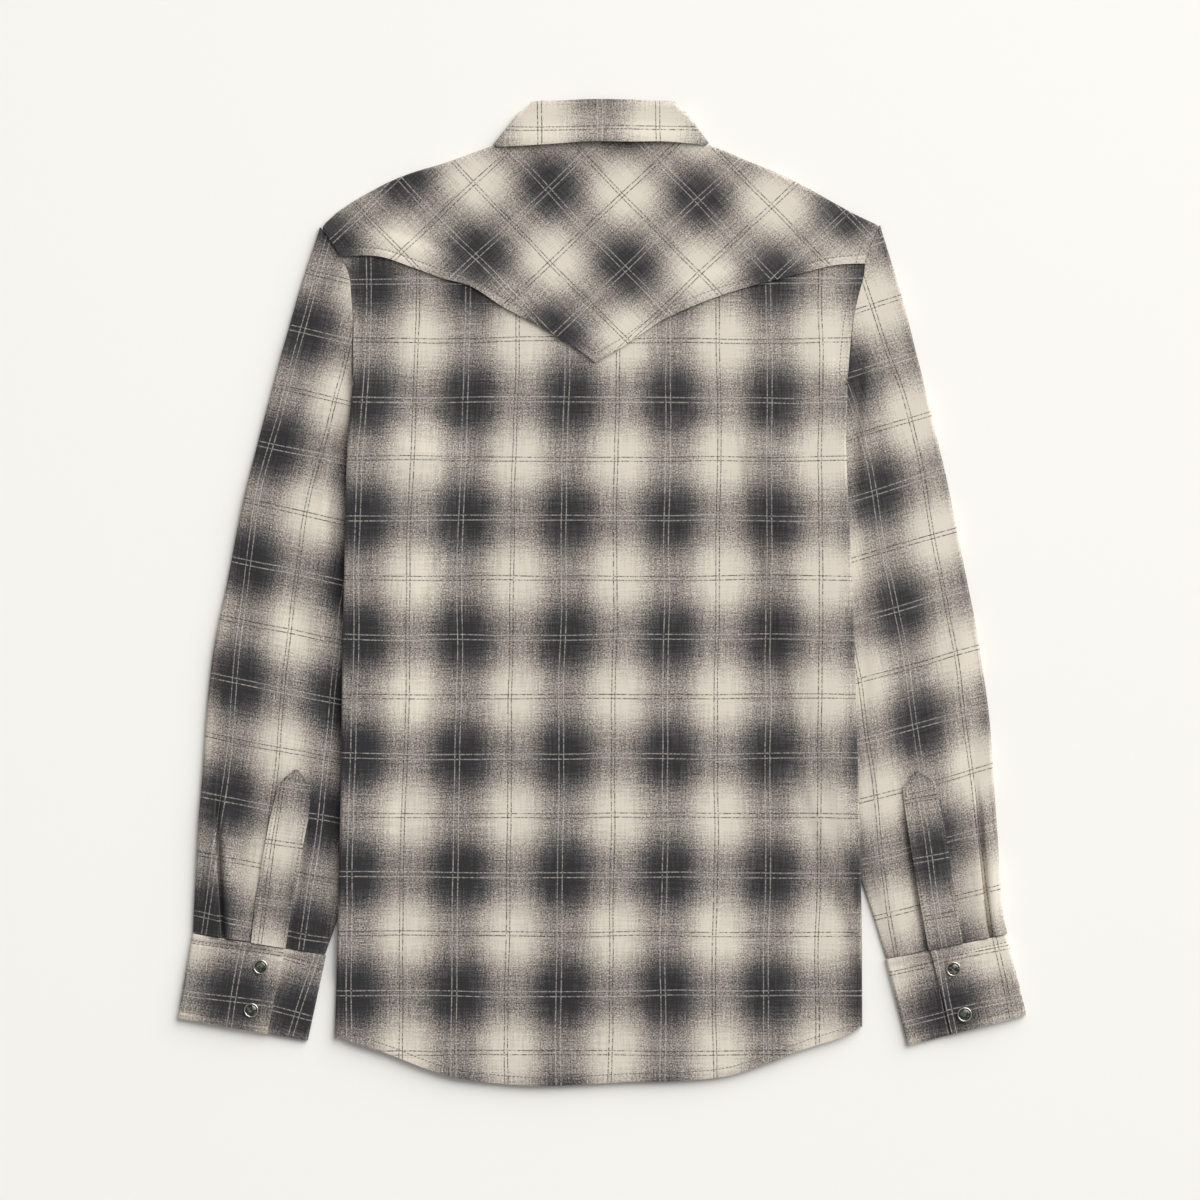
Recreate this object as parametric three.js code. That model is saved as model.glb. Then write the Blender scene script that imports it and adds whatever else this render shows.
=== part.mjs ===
// Western snap shirt of brushed cotton flannel, laid flat face down and seen from the back.
// Millimetres, +Z up, +Y from the hem towards the collar, +X to the right as it is seen.
// Every cloth piece is a thin wall about a middle surface, and its underside rests at z = 0.
// From the surface upwards lie the collar's points, the fronts, the back and the yoke. The
// sleeves are flattened tubes whose inner halves lie under the body's turned sides.
import * as THREE from 'three';

// Cloth and the heights of its layers
const CLOTH = 1.2;
const CUFF_CLOTH = 1.8;
const SEAM_GAP = 0.3;
const LAYER = CLOTH + SEAM_GAP;
const SLEEVE_HEIGHT = 5.4;
const SLEEVE_EDGE_HEIGHT = 2.8;
const SLEEVE_TAPER = 20;
const BODY_CLEARANCE = 0.5;
const BODY_LEAD = 14;
const BODY_HOLLOW = 2.7;
const BACK_LOW = 5.3;
const BACK_RISE = (CLOTH * 2.5 + BODY_HOLLOW - BACK_LOW + SLEEVE_HEIGHT + BODY_CLEARANCE - CLOTH)
  / (SLEEVE_HEIGHT + BODY_CLEARANCE);
const SIDE_TUCK = 50;
const LEAST_TUCK = 7;
const SHOULDER_TURN = 22;
const YOKE_LAP = 12;
const YOKE_LIFT = LAYER + 0.4;
const FRONT_LAP = 16;
const ARMHOLE_GAP = 0.5;
const ARMHOLE_SLOPE = 30;
const HEAD_LENGTH = 0.45;
const LAYER_CLEARANCE = 0.1;
const ARMHOLE_DROP = 0.2;
const ARMHOLE_BLEND = 25;
const ARMHOLE_REACH = 1.25;
const SHOULDER_TIP_BLEND = 36;

// The back's middle has no folds, and the fronts rise over the collar's points
const CENTRE_FLAT = 34;
const CENTRE_BLEND = 14;
const NECK_RISE_LOW = 262;
const NECK_RISE_OUT = 118;
const NECK_RISE_BLEND = 22;

// How finely the cloth is divided
const TOP_COLUMNS = 20;
const TURN_STEPS = 4;
const TUCK_COLUMNS = 2;
const LOW_ROWS = 16;
const SHOULDER_CELLS = 4;
const NECK_CELLS = 4;
const SHOULDER_STEPS = 3;
const SLEEVE_ROWS = 18;
const INNER_TURN_STEPS = 3;
const COLUMN_CROWDING = 0.35;
const FRONT_CENTRE_COLUMNS = [32, 18];
const FRONT_SEAM_COLUMNS = 3;
const PLEAT_COLUMNS = [0.16, 0.19];
const YOKE_SECOND_ROW = 40;
const YOKE_SECOND_SHARE = 0.82;

// Snaps
const SNAP_SIDES = 14;
const SNAP_RADIUS = 6.1;
const SNAP_CAP_RADIUS = 4.5;
const SNAP_HEIGHT = 2.4;
const SNAP_RIM_HEIGHT = 1.6;
const FRONT_SNAP_HEIGHT = 1.0;
const FRONT_SNAP_COUNT = 7;
const FRONT_SNAP_PITCH = 84;
const FRONT_SNAP_TOP = 262;

// Rise of the fronts over the snaps, and over the collar's points
const LAP_RISE = FRONT_SNAP_HEIGHT + 2 * SEAM_GAP;

// The body's visible sides: armhole seams above the fold, turned edges below it
const BODY_SIDES = [
  { y: 278.5, left: -216.6, right: 218.7 },
  { y: 261.9, left: -209.2, right: 216.5 },
  { y: 244.4, left: -207.5, right: 211.9 },
  { y: 222.9, left: -206.3, right: 207.7 },
  { y: 176.4, left: -206.3, right: 203.4 },
  { y: 152.3, left: -208.3, right: 203.0 },
  { y: 124.1, left: -210.8, right: 202.1 },
  { y: 66.8, left: -212.5, right: 204.2 },
  { y: 9.5, left: -213.7, right: 207.3 },
  { y: -47.7, left: -215.0, right: 209.0 },
  { y: -158.1, left: -216.3, right: 212.3 },
  { y: -272.7, left: -218.9, right: 215.1 },
  { y: -372.0, left: -221.8, right: 215.9 },
];

// Where the sides start to turn under, and where the side seams begin
const FOLD_TOP = 176.4;
const FOLD_START = FOLD_TOP - 5;
const UNDERARM = 114.2;

// The back's hem, from left to right
const BACK_HEM = [
  { x: -221.0, y: -364.5 },
  { x: -209.0, y: -371.5 },
  { x: -175.1, y: -383.0 },
  { x: -145.3, y: -394.7 },
  { x: -121.2, y: -402.1 },
  { x: -85.5, y: -406.7 },
  { x: -47.3, y: -408.8 },
  { x: 20.8, y: -405.5 },
  { x: 62.3, y: -404.6 },
  { x: 103.8, y: -400.5 },
  { x: 136.1, y: -390.5 },
  { x: 166.0, y: -378.9 },
  { x: 205.0, y: -366.0 },
  { x: 216.0, y: -358.5 },
];
const HEM_SIDE = 214;
const FRONT_HEM_RISE = 9;
const SEAM_HEM_RISE = 34;

// The yoke's pointed lower edge, in two runs that meet at its tip
const YOKE_EDGE_LEFT = [
  { x: -216.6, y: 278.5 },
  { x: -186.0, y: 278.5 },
  { x: -159.4, y: 270.2 },
  { x: -132.0, y: 260.2 },
  { x: -108.7, y: 253.6 },
  { x: -81.3, y: 236.1 },
  { x: -47.3, y: 217.9 },
  { x: -16.6, y: 198.8 },
  { x: -5.8, y: 190.5 },
];
const YOKE_EDGE_RIGHT = [
  { x: -5.8, y: 190.5 },
  { x: 18.3, y: 204.2 },
  { x: 49.8, y: 225.3 },
  { x: 83.0, y: 240.3 },
  { x: 117.0, y: 251.9 },
  { x: 161.9, y: 262.7 },
  { x: 190.1, y: 271.0 },
  { x: 204.0, y: 272.0 },
  { x: 217.5, y: 266.9 },
];

// The shoulder folds and the back neck between them
const TOP_EDGE = [
  { x: -233.2, y: 302.5 },
  { x: -216.6, y: 317.5 },
  { x: -182.6, y: 337.4 },
  { x: -159.4, y: 347.4 },
  { x: -132.0, y: 355.7 },
  { x: -90.5, y: 370.2 },
  { x: -60.0, y: 378.2 },
  { x: 0.0, y: 380.8 },
  { x: 60.0, y: 378.4 },
  { x: 88.5, y: 371.0 },
  { x: 122.0, y: 357.3 },
  { x: 144.4, y: 348.2 },
  { x: 168.1, y: 336.6 },
  { x: 193.4, y: 322.5 },
  { x: 210.4, y: 313.3 },
  { x: 229.9, y: 304.2 },
];
const NECK_LEFT = -90.5;
const NECK_RIGHT = 88.5;

// The fronts' neckline, below the shoulder folds
const FRONT_NECK = [
  { x: -90.5, y: 348.0 },
  { x: -70.0, y: 334.0 },
  { x: -40.0, y: 321.0 },
  { x: 0.0, y: 316.0 },
  { x: 40.0, y: 321.0 },
  { x: 70.0, y: 334.0 },
  { x: 88.5, y: 348.0 },
];

// Sleeves: one row for each section, from the armhole's ends down to the cuff.
// Each pleat's valley lies towards the inner edge (1) or the outer edge (-1).
const SLEEVE_LEFT = {
  side: -1,
  armhole: [
    { x: -233.2, y: 302.5 },
    { x: -223.3, y: 288.8 },
    { x: -215.0, y: 275.1 },
    { x: -209.2, y: 261.9 },
    { x: -207.5, y: 244.4 },
    { x: -206.3, y: 222.9 },
    { x: -206.3, y: 176.4 },
    { x: -188.4, y: 146.0 },
    { x: -163.5, y: 124.0 },
    { x: -137.8, y: 114.1 },
  ],
  sections: [
    { outerX: -233.2, outerY: 302.5, innerX: -137.8, innerY: 114.1 },
    { outerX: -250.7, outerY: 248.6, innerX: -142.0, innerY: 86.0 },
    { outerX: -264.0, outerY: 201.0, innerX: -147.0, innerY: 56.0 },
    { outerX: -277.2, outerY: 154.0, innerX: -152.0, innerY: 26.0 },
    { outerX: -291.0, outerY: 101.0, innerX: -157.7, innerY: -6.2 },
    { outerX: -303.0, outerY: 47.7, innerX: -164.0, innerY: -44.0 },
    { outerX: -312.9, outerY: -2.9, innerX: -171.8, innerY: -82.0 },
    { outerX: -322.0, outerY: -48.6, innerX: -179.0, innerY: -118.0 },
    { outerX: -327.5, outerY: -95.0, innerX: -186.0, innerY: -150.0 },
    { outerX: -331.0, outerY: -145.7, innerX: -193.0, innerY: -180.0 },
    { outerX: -334.0, outerY: -190.0, innerX: -201.0, innerY: -208.0 },
    { outerX: -336.5, outerY: -232.0, innerX: -210.0, innerY: -240.0 },
    { outerX: -338.2, outerY: -261.0, innerX: -219.2, innerY: -270.2 },
    { outerX: -339.1, outerY: -281.4, innerX: -229.5, innerY: -299.8 },
  ],
  pleat: { across: 0.19, valley: 1, rise: 1.1, from: 0.72, width: 0.1 },
};
const SLEEVE_RIGHT = {
  side: 1,
  armhole: [
    { x: 229.9, y: 304.2 },
    { x: 222.9, y: 288.8 },
    { x: 218.3, y: 275.1 },
    { x: 216.5, y: 261.9 },
    { x: 211.9, y: 244.4 },
    { x: 207.7, y: 222.9 },
    { x: 203.4, y: 176.4 },
    { x: 190.0, y: 146.0 },
    { x: 165.0, y: 124.0 },
    { x: 139.4, y: 114.1 },
  ],
  sections: [
    { outerX: 229.9, outerY: 304.2, innerX: 139.4, innerY: 114.1 },
    { outerX: 246.5, outerY: 249.4, innerX: 144.0, innerY: 86.0 },
    { outerX: 257.7, outerY: 207.0, innerX: 149.0, innerY: 58.0 },
    { outerX: 268.9, outerY: 163.9, innerX: 154.5, innerY: 28.0 },
    { outerX: 283.5, outerY: 100.8, innerX: 160.2, innerY: -6.2 },
    { outerX: 294.0, outerY: 52.7, innerX: 167.0, innerY: -43.0 },
    { outerX: 303.8, outerY: 2.1, innerX: 174.3, innerY: -80.9 },
    { outerX: 313.0, outerY: -45.7, innerX: 181.0, innerY: -115.0 },
    { outerX: 320.4, outerY: -95.0, innerX: 187.6, innerY: -147.3 },
    { outerX: 324.5, outerY: -149.0, innerX: 195.0, innerY: -180.0 },
    { outerX: 327.0, outerY: -198.8, innerX: 203.0, innerY: -212.0 },
    { outerX: 329.5, outerY: -241.2, innerX: 215.0, innerY: -239.4 },
    { outerX: 332.0, outerY: -268.0, innerX: 226.6, innerY: -273.5 },
    { outerX: 335.3, outerY: -282.6, innerX: 235.7, innerY: -303.4 },
  ],
  pleat: { across: 0.16, valley: -1, rise: 1.1, from: 0.72, width: 0.1 },
};

// A place further out than any edge of the shirt
const BEYOND = 500;

// Across a pleat, in its own widths: how sharp its steep side is, and its valley
const PLEAT_SHARPNESS = 16;
const VALLEY_PLACE = 0.7;
const VALLEY_SHARPNESS = 8;
const VALLEY_SHARE = 0.5;

// Sleeve plackets on the sleeves' tops, from the cuff up to the pointed end
const PLACKET_LEFT = [
  { leftX: -290.5, leftY: -290.1, rightX: -262.3, rightY: -294.6 },
  { leftX: -287.2, leftY: -257.7, rightX: -256.5, rightY: -257.7 },
  { leftX: -280.5, leftY: -217.0, rightX: -249.0, rightY: -217.0 },
  { leftX: -275.6, leftY: -190.5, rightX: -243.2, rightY: -187.2 },
  { leftX: -267.3, leftY: -157.3, rightX: -240.7, rightY: -160.6 },
  { leftX: -254.4, leftY: -147.0, rightX: -252.0, rightY: -147.0 },
];
const PLACKET_RIGHT = [
  { leftX: 270.6, leftY: -296.2, rightX: 298.8, rightY: -290.4 },
  { leftX: 262.4, leftY: -252.0, rightX: 292.0, rightY: -252.0 },
  { leftX: 254.8, leftY: -205.0, rightX: 285.5, rightY: -205.0 },
  { leftX: 250.7, leftY: -178.0, rightX: 278.9, rightY: -173.0 },
  { leftX: 249.0, leftY: -162.3, rightX: 275.6, rightY: -155.6 },
  { leftX: 259.0, leftY: -148.7, rightX: 261.4, rightY: -148.7 },
];

// Cuffs: corners, and how far across from the outer side the upper end reaches
const CUFF_LEFT = {
  side: -1,
  topOuter: { x: -339.6, y: -282.8 },
  topInner: { x: -228.9, y: -301.0 },
  lowOuter: { x: -351.9, y: -352.3 },
  lowInner: { x: -244.0, y: -371.4 },
  overlapEnd: 0.69,
  snaps: [{ x: -282.8, y: -310.0 }, { x: -290.5, y: -345.9 }],
};
const CUFF_RIGHT = {
  side: 1,
  topOuter: { x: 335.5, y: -283.6 },
  topInner: { x: 235.0, y: -304.4 },
  lowOuter: { x: 351.9, y: -349.9 },
  lowInner: { x: 253.2, y: -375.6 },
  overlapEnd: 0.63,
  snaps: [{ x: 291.0, y: -311.7 }, { x: 300.2, y: -349.4 }],
};
const CUFF_LAP = 0.28;
const CUFF_HOLLOW = 0.6;
const CUFF_ROWS = [0, 0.33, 0.67, 1];
const CUFF_OUTER_DROP = 0.8;
const CUFF_FLAT = 0.03;
const CUFF_RAMP = 0.05;

// Collar leaf seen from behind, and its stand, one row for each place across
const LEAF_BACK = [
  { foldX: -68.0, foldY: 399.5, edgeX: -90.5, edgeY: 369.8 },
  { foldX: -58.0, foldY: 406.3, edgeX: -74.0, edgeY: 370.6 },
  { foldX: -36.0, foldY: 407.3, edgeX: -42.0, edgeY: 373.0 },
  { foldX: -10.0, foldY: 408.6, edgeX: -10.0, edgeY: 375.4 },
  { foldX: 22.0, foldY: 408.2, edgeX: 24.0, edgeY: 375.0 },
  { foldX: 44.0, foldY: 407.2, edgeX: 52.0, edgeY: 375.4 },
  { foldX: 60.0, foldY: 406.3, edgeX: 74.0, edgeY: 373.4 },
  { foldX: 69.0, foldY: 400.0, edgeX: 88.4, edgeY: 371.2 },
];
const LEAF_POINT = { foldX: 9.0, foldY: 346.0, edgeX: 49.0, edgeY: 286.0 };
const LEAF_CORNER_LIFT = 2.2;
const LEAF_SHARES = [0, 0.1, 0.35, 0.7, 1];
const LEAF_CURL = [1.7, 0.2, 0, 0, 0];
const LEAF_TURN = { x: 0.8, y: 0.6 };
const LEAF_TURN_DROP = 0.2;
const WING_CELLS = 4;

// Collar stand: how far its top lies inside the leaf's fold, and its front from the side in.
// A row with no `low` follows the fronts' neckline.
const STAND_INSET = 4;
const STAND_TOP_SHARE = 0.76;
const STAND_END = { lowX: 80, lowY: 376.2, highX: 58, highY: 400 };
const STAND_LAP = 25;
const STAND_FRONT = [
  { x: 80, low: 374, highX: 57, highY: 398 },
  { x: 80, low: 356, highX: 55, highY: 383 },
  { x: 76, low: 341, highX: 51, highY: 367 },
  { x: 61, low: 331, highX: 42, highY: 355 },
  { x: 32, highX: 30, highY: 347 },
  { x: 18, highX: 19, highY: 344 },
  { x: -14, highX: -14, highY: 344 },
];

const FLANNEL_COLOR = 0x8f8782;
const CAP_COLOR = 0x4a4744;
const RIM_COLOR = 0xb9b6b0;

// A smooth step from 0 to 1
function ease(value) {
  const t = Math.min(Math.max(value, 0), 1);
  return t * t * (3 - 2 * t);
}

function mix(from, to, share) {
  return from + (to - from) * share;
}

// One column of a table, on a smooth curve through its rows, at a place in another column
function along(rows, key, place, column) {
  const last = rows.length - 1;
  const step = rows[last][key] > rows[0][key] ? 1 : -1;
  let row = 0;
  while (row < last - 1 && (place - rows[row + 1][key]) * step > 0) row += 1;
  const span = rows[row + 1][key] - rows[row][key];
  const slope = (at) => {
    const before = rows[Math.max(at - 1, 0)];
    const after = rows[Math.min(at + 1, last)];
    return (after[column] - before[column]) / (after[key] - before[key]);
  };
  const t = Math.min(Math.max((place - rows[row][key]) / span, 0), 1);
  const start = rows[row][column];
  const end = rows[row + 1][column];
  const startSlope = slope(row) * span;
  const endSlope = slope(row + 1) * span;
  const t2 = t * t;
  const t3 = t2 * t;
  return start * (2 * t3 - 3 * t2 + 1) + startSlope * (t3 - 2 * t2 + t)
    + end * (3 * t2 - 2 * t3) + endSlope * (t3 - t2);
}

// The same table with a column `at` that runs evenly from 0 to 1
function spaced(rows) {
  return rows.map((row, index) => ({ ...row, at: index / (rows.length - 1) }));
}

// Distance from a point to a run of points
function distanceTo(run, x, y) {
  let nearest = Infinity;
  for (let i = 0; i < run.length - 1; i += 1) {
    const dx = run[i + 1].x - run[i].x;
    const dy = run[i + 1].y - run[i].y;
    const length2 = dx * dx + dy * dy;
    const t = Math.min(Math.max(((x - run[i].x) * dx + (y - run[i].y) * dy) / length2, 0), 1);
    nearest = Math.min(nearest, Math.hypot(x - run[i].x - dx * t, y - run[i].y - dy * t));
  }
  return nearest;
}

function inside(polygon, x, y) {
  let within = false;
  for (let i = 0, j = polygon.length - 1; i < polygon.length; j = i, i += 1) {
    const a = polygon[i];
    const b = polygon[j];
    if ((a.y > y) !== (b.y > y) && x < ((b.x - a.x) * (y - a.y)) / (b.y - a.y) + a.x) {
      within = !within;
    }
  }
  return within;
}

// The sleeves' hidden edges: the low armhole and the inner edge, under the body
function hiddenEdge(sleeve) {
  const lowArmhole = sleeve.armhole.filter((point) => point.y <= FOLD_TOP);
  const inner = sleeve.sections.slice(1).map((row) => ({ x: row.innerX, y: row.innerY }));
  return [...lowArmhole, ...inner];
}

const HIDDEN = [SLEEVE_LEFT, SLEEVE_RIGHT].map((sleeve) => {
  const run = hiddenEdge(sleeve);
  const beyond = sleeve.side * BEYOND;
  const polygon = [...run, { x: beyond, y: run[run.length - 1].y }, { x: beyond, y: FOLD_TOP }];
  return { side: sleeve.side, run, polygon };
});

// How far a place lies inside a sleeve's hidden edge, below zero outside it
function depthInSleeve(hidden, x, y) {
  const distance = distanceTo(hidden.run, x, y);
  return inside(hidden.polygon, x, y) ? distance : -distance;
}

// Height of a sleeve's top as it thins towards its hidden edge
function sleeveTop(depth) {
  return mix(SLEEVE_EDGE_HEIGHT, SLEEVE_HEIGHT, ease(depth / SLEEVE_TAPER));
}

// Height of what lies under the fronts: the sleeves' inner halves, met by a soft rise
function underFronts(x, y) {
  const hidden = HIDDEN[x < 0 ? 0 : 1];
  const depth = depthInSleeve(hidden, x, y) + BODY_LEAD;
  if (depth > 0) return sleeveTop(depth) + BODY_CLEARANCE;
  return (SLEEVE_EDGE_HEIGHT + BODY_CLEARANCE) * ease(1 + depth / BODY_LEAD);
}

// Rise of the fronts over the collar's points
function neckRise(x, y) {
  const down = ease((y - NECK_RISE_LOW) / NECK_RISE_BLEND);
  const out = ease((NECK_RISE_OUT - Math.abs(x)) / NECK_RISE_BLEND);
  return LAP_RISE * down * out;
}

// Middle surface of the body's lower layer
function lowerLayer(x, y) {
  return Math.max(underFronts(x, y), neckRise(x, y)) + CLOTH / 2;
}

// Soft folds pressed into the back: long, low and uneven
const BACK_FOLDS = [
  { x: -172, y: 110, lean: 0.10, length: 60, width: 18, depth: 1.1 },
  { x: -112, y: -10, lean: -0.06, length: 120, width: 26, depth: 0.9 },
  { x: 74, y: 60, lean: 0.08, length: 90, width: 24, depth: 0.8 },
  { x: 166, y: 20, lean: -0.05, length: 120, width: 20, depth: 1.0 },
  { x: -78, y: -230, lean: 0.05, length: 110, width: 26, depth: 0.9 },
  { x: 110, y: -240, lean: -0.04, length: 100, width: 22, depth: 1.0 },
  { x: -178, y: -210, lean: 0.03, length: 100, width: 18, depth: 1.1 },
];

function foldDepth(folds, x, y) {
  let sum = 0;
  for (const fold of folds) {
    const away = (x - fold.x - fold.lean * (y - fold.y)) / fold.width;
    const down = (y - fold.y) / fold.length;
    sum += fold.depth * Math.exp(-away * away - down * down);
  }
  return sum;
}

// Middle surface of the body's upper layer. It follows what lies below it, and comes down
// to the sleeves' tops along the armhole seams.
function upperLayer(x, y) {
  const centre = ease((Math.abs(x) - CENTRE_FLAT) / CENTRE_BLEND);
  const level = BACK_LOW + BACK_RISE * underFronts(x, y) - foldDepth(BACK_FOLDS, x, y) * centre;
  const sleeve = x < 0 ? SLEEVE_LEFT : SLEEVE_RIGHT;
  const seam = sleeve.armhole.filter((point) => point.y >= FOLD_TOP);
  const near = ease(ARMHOLE_REACH - distanceTo(seam, x, y) / ARMHOLE_SLOPE);
  const high = ease((y - FOLD_START) / ARMHOLE_BLEND);
  const resting = lowerLayer(x, y) + LAYER + LAYER_CLEARANCE;
  const target = Math.max(resting, SLEEVE_HEIGHT - CLOTH / 2 - ARMHOLE_DROP);
  return mix(level, target, near * high);
}

// A closed wall of even thickness about a grid of middle points.
// rows[i][j] is a point, or null where there is no cloth. Joined rows close into a ring.
function wall(rows, thickness, joined = false) {
  const index = rows.map((row) => row.map(() => -1));
  const points = [];
  rows.forEach((row, i) => row.forEach((point, j) => {
    if (point) {
      index[i][j] = points.length;
      points.push(point);
    }
  }));
  const cells = [];
  const columns = rows[0].length;
  for (let i = 0; i < rows.length - 1; i += 1) {
    for (let j = 0; j < (joined ? columns : columns - 1); j += 1) {
      const next = (j + 1) % columns;
      const cell = [index[i][j], index[i][next], index[i + 1][next], index[i + 1][j]];
      if (cell.every((corner) => corner >= 0)) cells.push(cell);
    }
  }
  const normals = points.map(() => new THREE.Vector3());
  for (const [a, b, c, d] of cells) {
    const across = points[c].clone().sub(points[a]);
    const down = points[d].clone().sub(points[b]);
    const normal = across.cross(down).normalize();
    for (const corner of [a, b, c, d]) normals[corner].add(normal);
  }
  const position = [];
  for (const half of [thickness / 2, -thickness / 2]) {
    points.forEach((point, i) => {
      const place = point.clone().addScaledVector(normals[i].clone().normalize(), half);
      position.push(place.x, place.y, place.z);
    });
  }
  const faces = [];
  const count = points.length;
  const sides = new Map();
  for (const cell of cells) {
    const [a, b, c, d] = cell;
    faces.push(a, b, c, a, c, d);
    faces.push(a + count, c + count, b + count, a + count, d + count, c + count);
    cell.forEach((corner, k) => {
      const next = cell[(k + 1) % 4];
      sides.set(`${corner},${next}`, [corner, next]);
    });
  }
  for (const [from, to] of sides.values()) {
    if (!sides.has(`${to},${from}`)) {
      faces.push(from, from + count, to + count, from, to + count, to);
    }
  }
  const geometry = new THREE.BufferGeometry();
  geometry.setAttribute('position', new THREE.Float32BufferAttribute(position, 3));
  geometry.setIndex(faces);
  geometry.computeVertexNormals();
  return geometry;
}

function cloth(name, geometry) {
  const material = new THREE.MeshStandardMaterial({
    color: FLANNEL_COLOR, roughness: 0.95, metalness: 0,
  });
  const mesh = new THREE.Mesh(geometry, material);
  mesh.name = name;
  return mesh;
}

// Middle points between an upper and a lower layer, on a half turn that bulges along `out`
// from the upper layer's last point. The ends of the turn are left out.
function halfTurn(high, lowZ, out, steps) {
  const turn = [];
  const radius = (high.z - lowZ) / 2;
  for (let k = 1; k < steps; k += 1) {
    const angle = (k / steps) * Math.PI;
    const reach = radius * Math.sin(angle);
    const z = lowZ + radius + radius * Math.cos(angle);
    turn.push(new THREE.Vector3(high.x + out.x * reach, high.y + out.y * reach, z));
  }
  return turn;
}

function yokeEdge(x) {
  const run = x < YOKE_EDGE_RIGHT[0].x ? YOKE_EDGE_LEFT : YOKE_EDGE_RIGHT;
  return along(run, 'x', x, 'y');
}

// A place on the armhole seam's straight runs, by height
function armholeX(side, y) {
  const seam = (side < 0 ? SLEEVE_LEFT : SLEEVE_RIGHT).armhole;
  let i = 0;
  while (i < seam.length - 2 && seam[i + 1].y > y) i += 1;
  return mix(seam[i].x, seam[i + 1].x, (y - seam[i].y) / (seam[i + 1].y - seam[i].y));
}

function bodySide(side, y) {
  return along(BODY_SIDES, 'y', y, side < 0 ? 'left' : 'right');
}

// The side seam's place under the turned side: the low armhole first, then straight down
function seamX(side, y) {
  const seam = bodySide(side, y) - side * SIDE_TUCK;
  const armhole = y > UNDERARM ? armholeX(side, y) : seam;
  const least = bodySide(side, y) - side * LEAST_TUCK;
  return side * Math.min(Math.max(side * armhole, side * seam), side * least);
}

// Rows shared by the back and the fronts: shares of the way from the hem to the fold's
// start, and from there up the armhole
const LOW_SHARES = Array.from({ length: LOW_ROWS + 1 }, (_, i) => i / LOW_ROWS);
const HIGH_LEVELS = [FOLD_TOP, 199.6, 222.9, 244.4, 261.9, 275.1, 288.8];
const HIGH_TOP = HIGH_LEVELS[HIGH_LEVELS.length - 1];

// One side of the body in a low row: the fold's place and the side seam's place
function sideOfRow(side, share) {
  const hem = along(BACK_HEM, 'x', side * HEM_SIDE, 'y');
  const y = mix(hem, FOLD_START, share);
  const seamY = mix(hem + SEAM_HEM_RISE, FOLD_START, share);
  return { y, seamY, edge: bodySide(side, y) - side * CLOTH / 2, seam: seamX(side, seamY) };
}

// The turned side of the back in a low row, from the side seam to the start of its top
function turnedSide(side, share) {
  const { y, seamY, edge, seam } = sideOfRow(side, share);
  const lowZ = lowerLayer(edge, y);
  const highZ = upperLayer(edge, y);
  const start = new THREE.Vector3(edge - side * (highZ - lowZ) / 2, y, highZ);
  const points = [];
  for (let k = 0; k <= TUCK_COLUMNS; k += 1) {
    const part = 1 - k / TUCK_COLUMNS;
    const x = mix(start.x, seam + side * SEAM_GAP, part);
    const place = mix(y, seamY, part);
    const z = k === TUCK_COLUMNS ? lowZ : lowerLayer(x, place);
    points.push(new THREE.Vector3(x, place, z));
  }
  const turn = halfTurn(start, lowZ, { x: side, y: 0 }, TURN_STEPS).reverse();
  return { points: [...points, ...turn], start };
}

// Back panel: from side seam round the left edge, over the top, and round the right edge
function backPanel() {
  const topRow = (left, right, height) => {
    const row = [];
    for (let j = 0; j <= TOP_COLUMNS; j += 1) {
      const u = j / TOP_COLUMNS;
      const crowded = u - COLUMN_CROWDING * Math.sin(2 * Math.PI * u) / (2 * Math.PI);
      const x = mix(left, right, crowded);
      const y = height(x, u);
      row.push(new THREE.Vector3(x, y, upperLayer(x, y)));
    }
    return row;
  };
  const rows = LOW_SHARES.map((share) => {
    const left = turnedSide(-1, share);
    const right = turnedSide(1, share);
    const height = (x, u) => {
      if (u === 0) return left.start.y;
      if (u === 1) return right.start.y;
      return mix(along(BACK_HEM, 'x', x, 'y'), FOLD_START, share);
    };
    const top = topRow(left.start.x, right.start.x, height);
    return [...left.points, ...top, ...right.points.reverse()];
  });
  const turned = new Array(TUCK_COLUMNS + TURN_STEPS).fill(null);
  for (const level of HIGH_LEVELS) {
    const share = (level - FOLD_START) / (HIGH_TOP - FOLD_START);
    const left = armholeX(-1, level) + ARMHOLE_GAP / 2;
    const right = armholeX(1, level) - ARMHOLE_GAP / 2;
    const height = (x, u) => {
      if (u === 0 || u === 1) return level;
      return mix(FOLD_START, yokeEdge(x) + YOKE_LAP, share);
    };
    rows.push([...turned, ...topRow(left, right, height), ...turned]);
  }
  return wall(rows, CLOTH);
}

// Places along the yoke's top: shoulder to neck, across the neck, neck to shoulder
function topColumns() {
  const columns = [];
  const tips = [TOP_EDGE[0].x, TOP_EDGE[TOP_EDGE.length - 1].x];
  const middle = YOKE_EDGE_RIGHT[0].x;
  for (let k = 0; k < SHOULDER_CELLS; k += 1) {
    columns.push(mix(tips[0], NECK_LEFT, k / SHOULDER_CELLS));
  }
  for (let k = 0; k < NECK_CELLS; k += 1) columns.push(mix(NECK_LEFT, middle, k / NECK_CELLS));
  for (let k = 0; k < NECK_CELLS; k += 1) columns.push(mix(middle, NECK_RIGHT, k / NECK_CELLS));
  for (let k = 0; k <= SHOULDER_CELLS; k += 1) {
    columns.push(mix(NECK_RIGHT, tips[1], k / SHOULDER_CELLS));
  }
  return columns;
}

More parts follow.
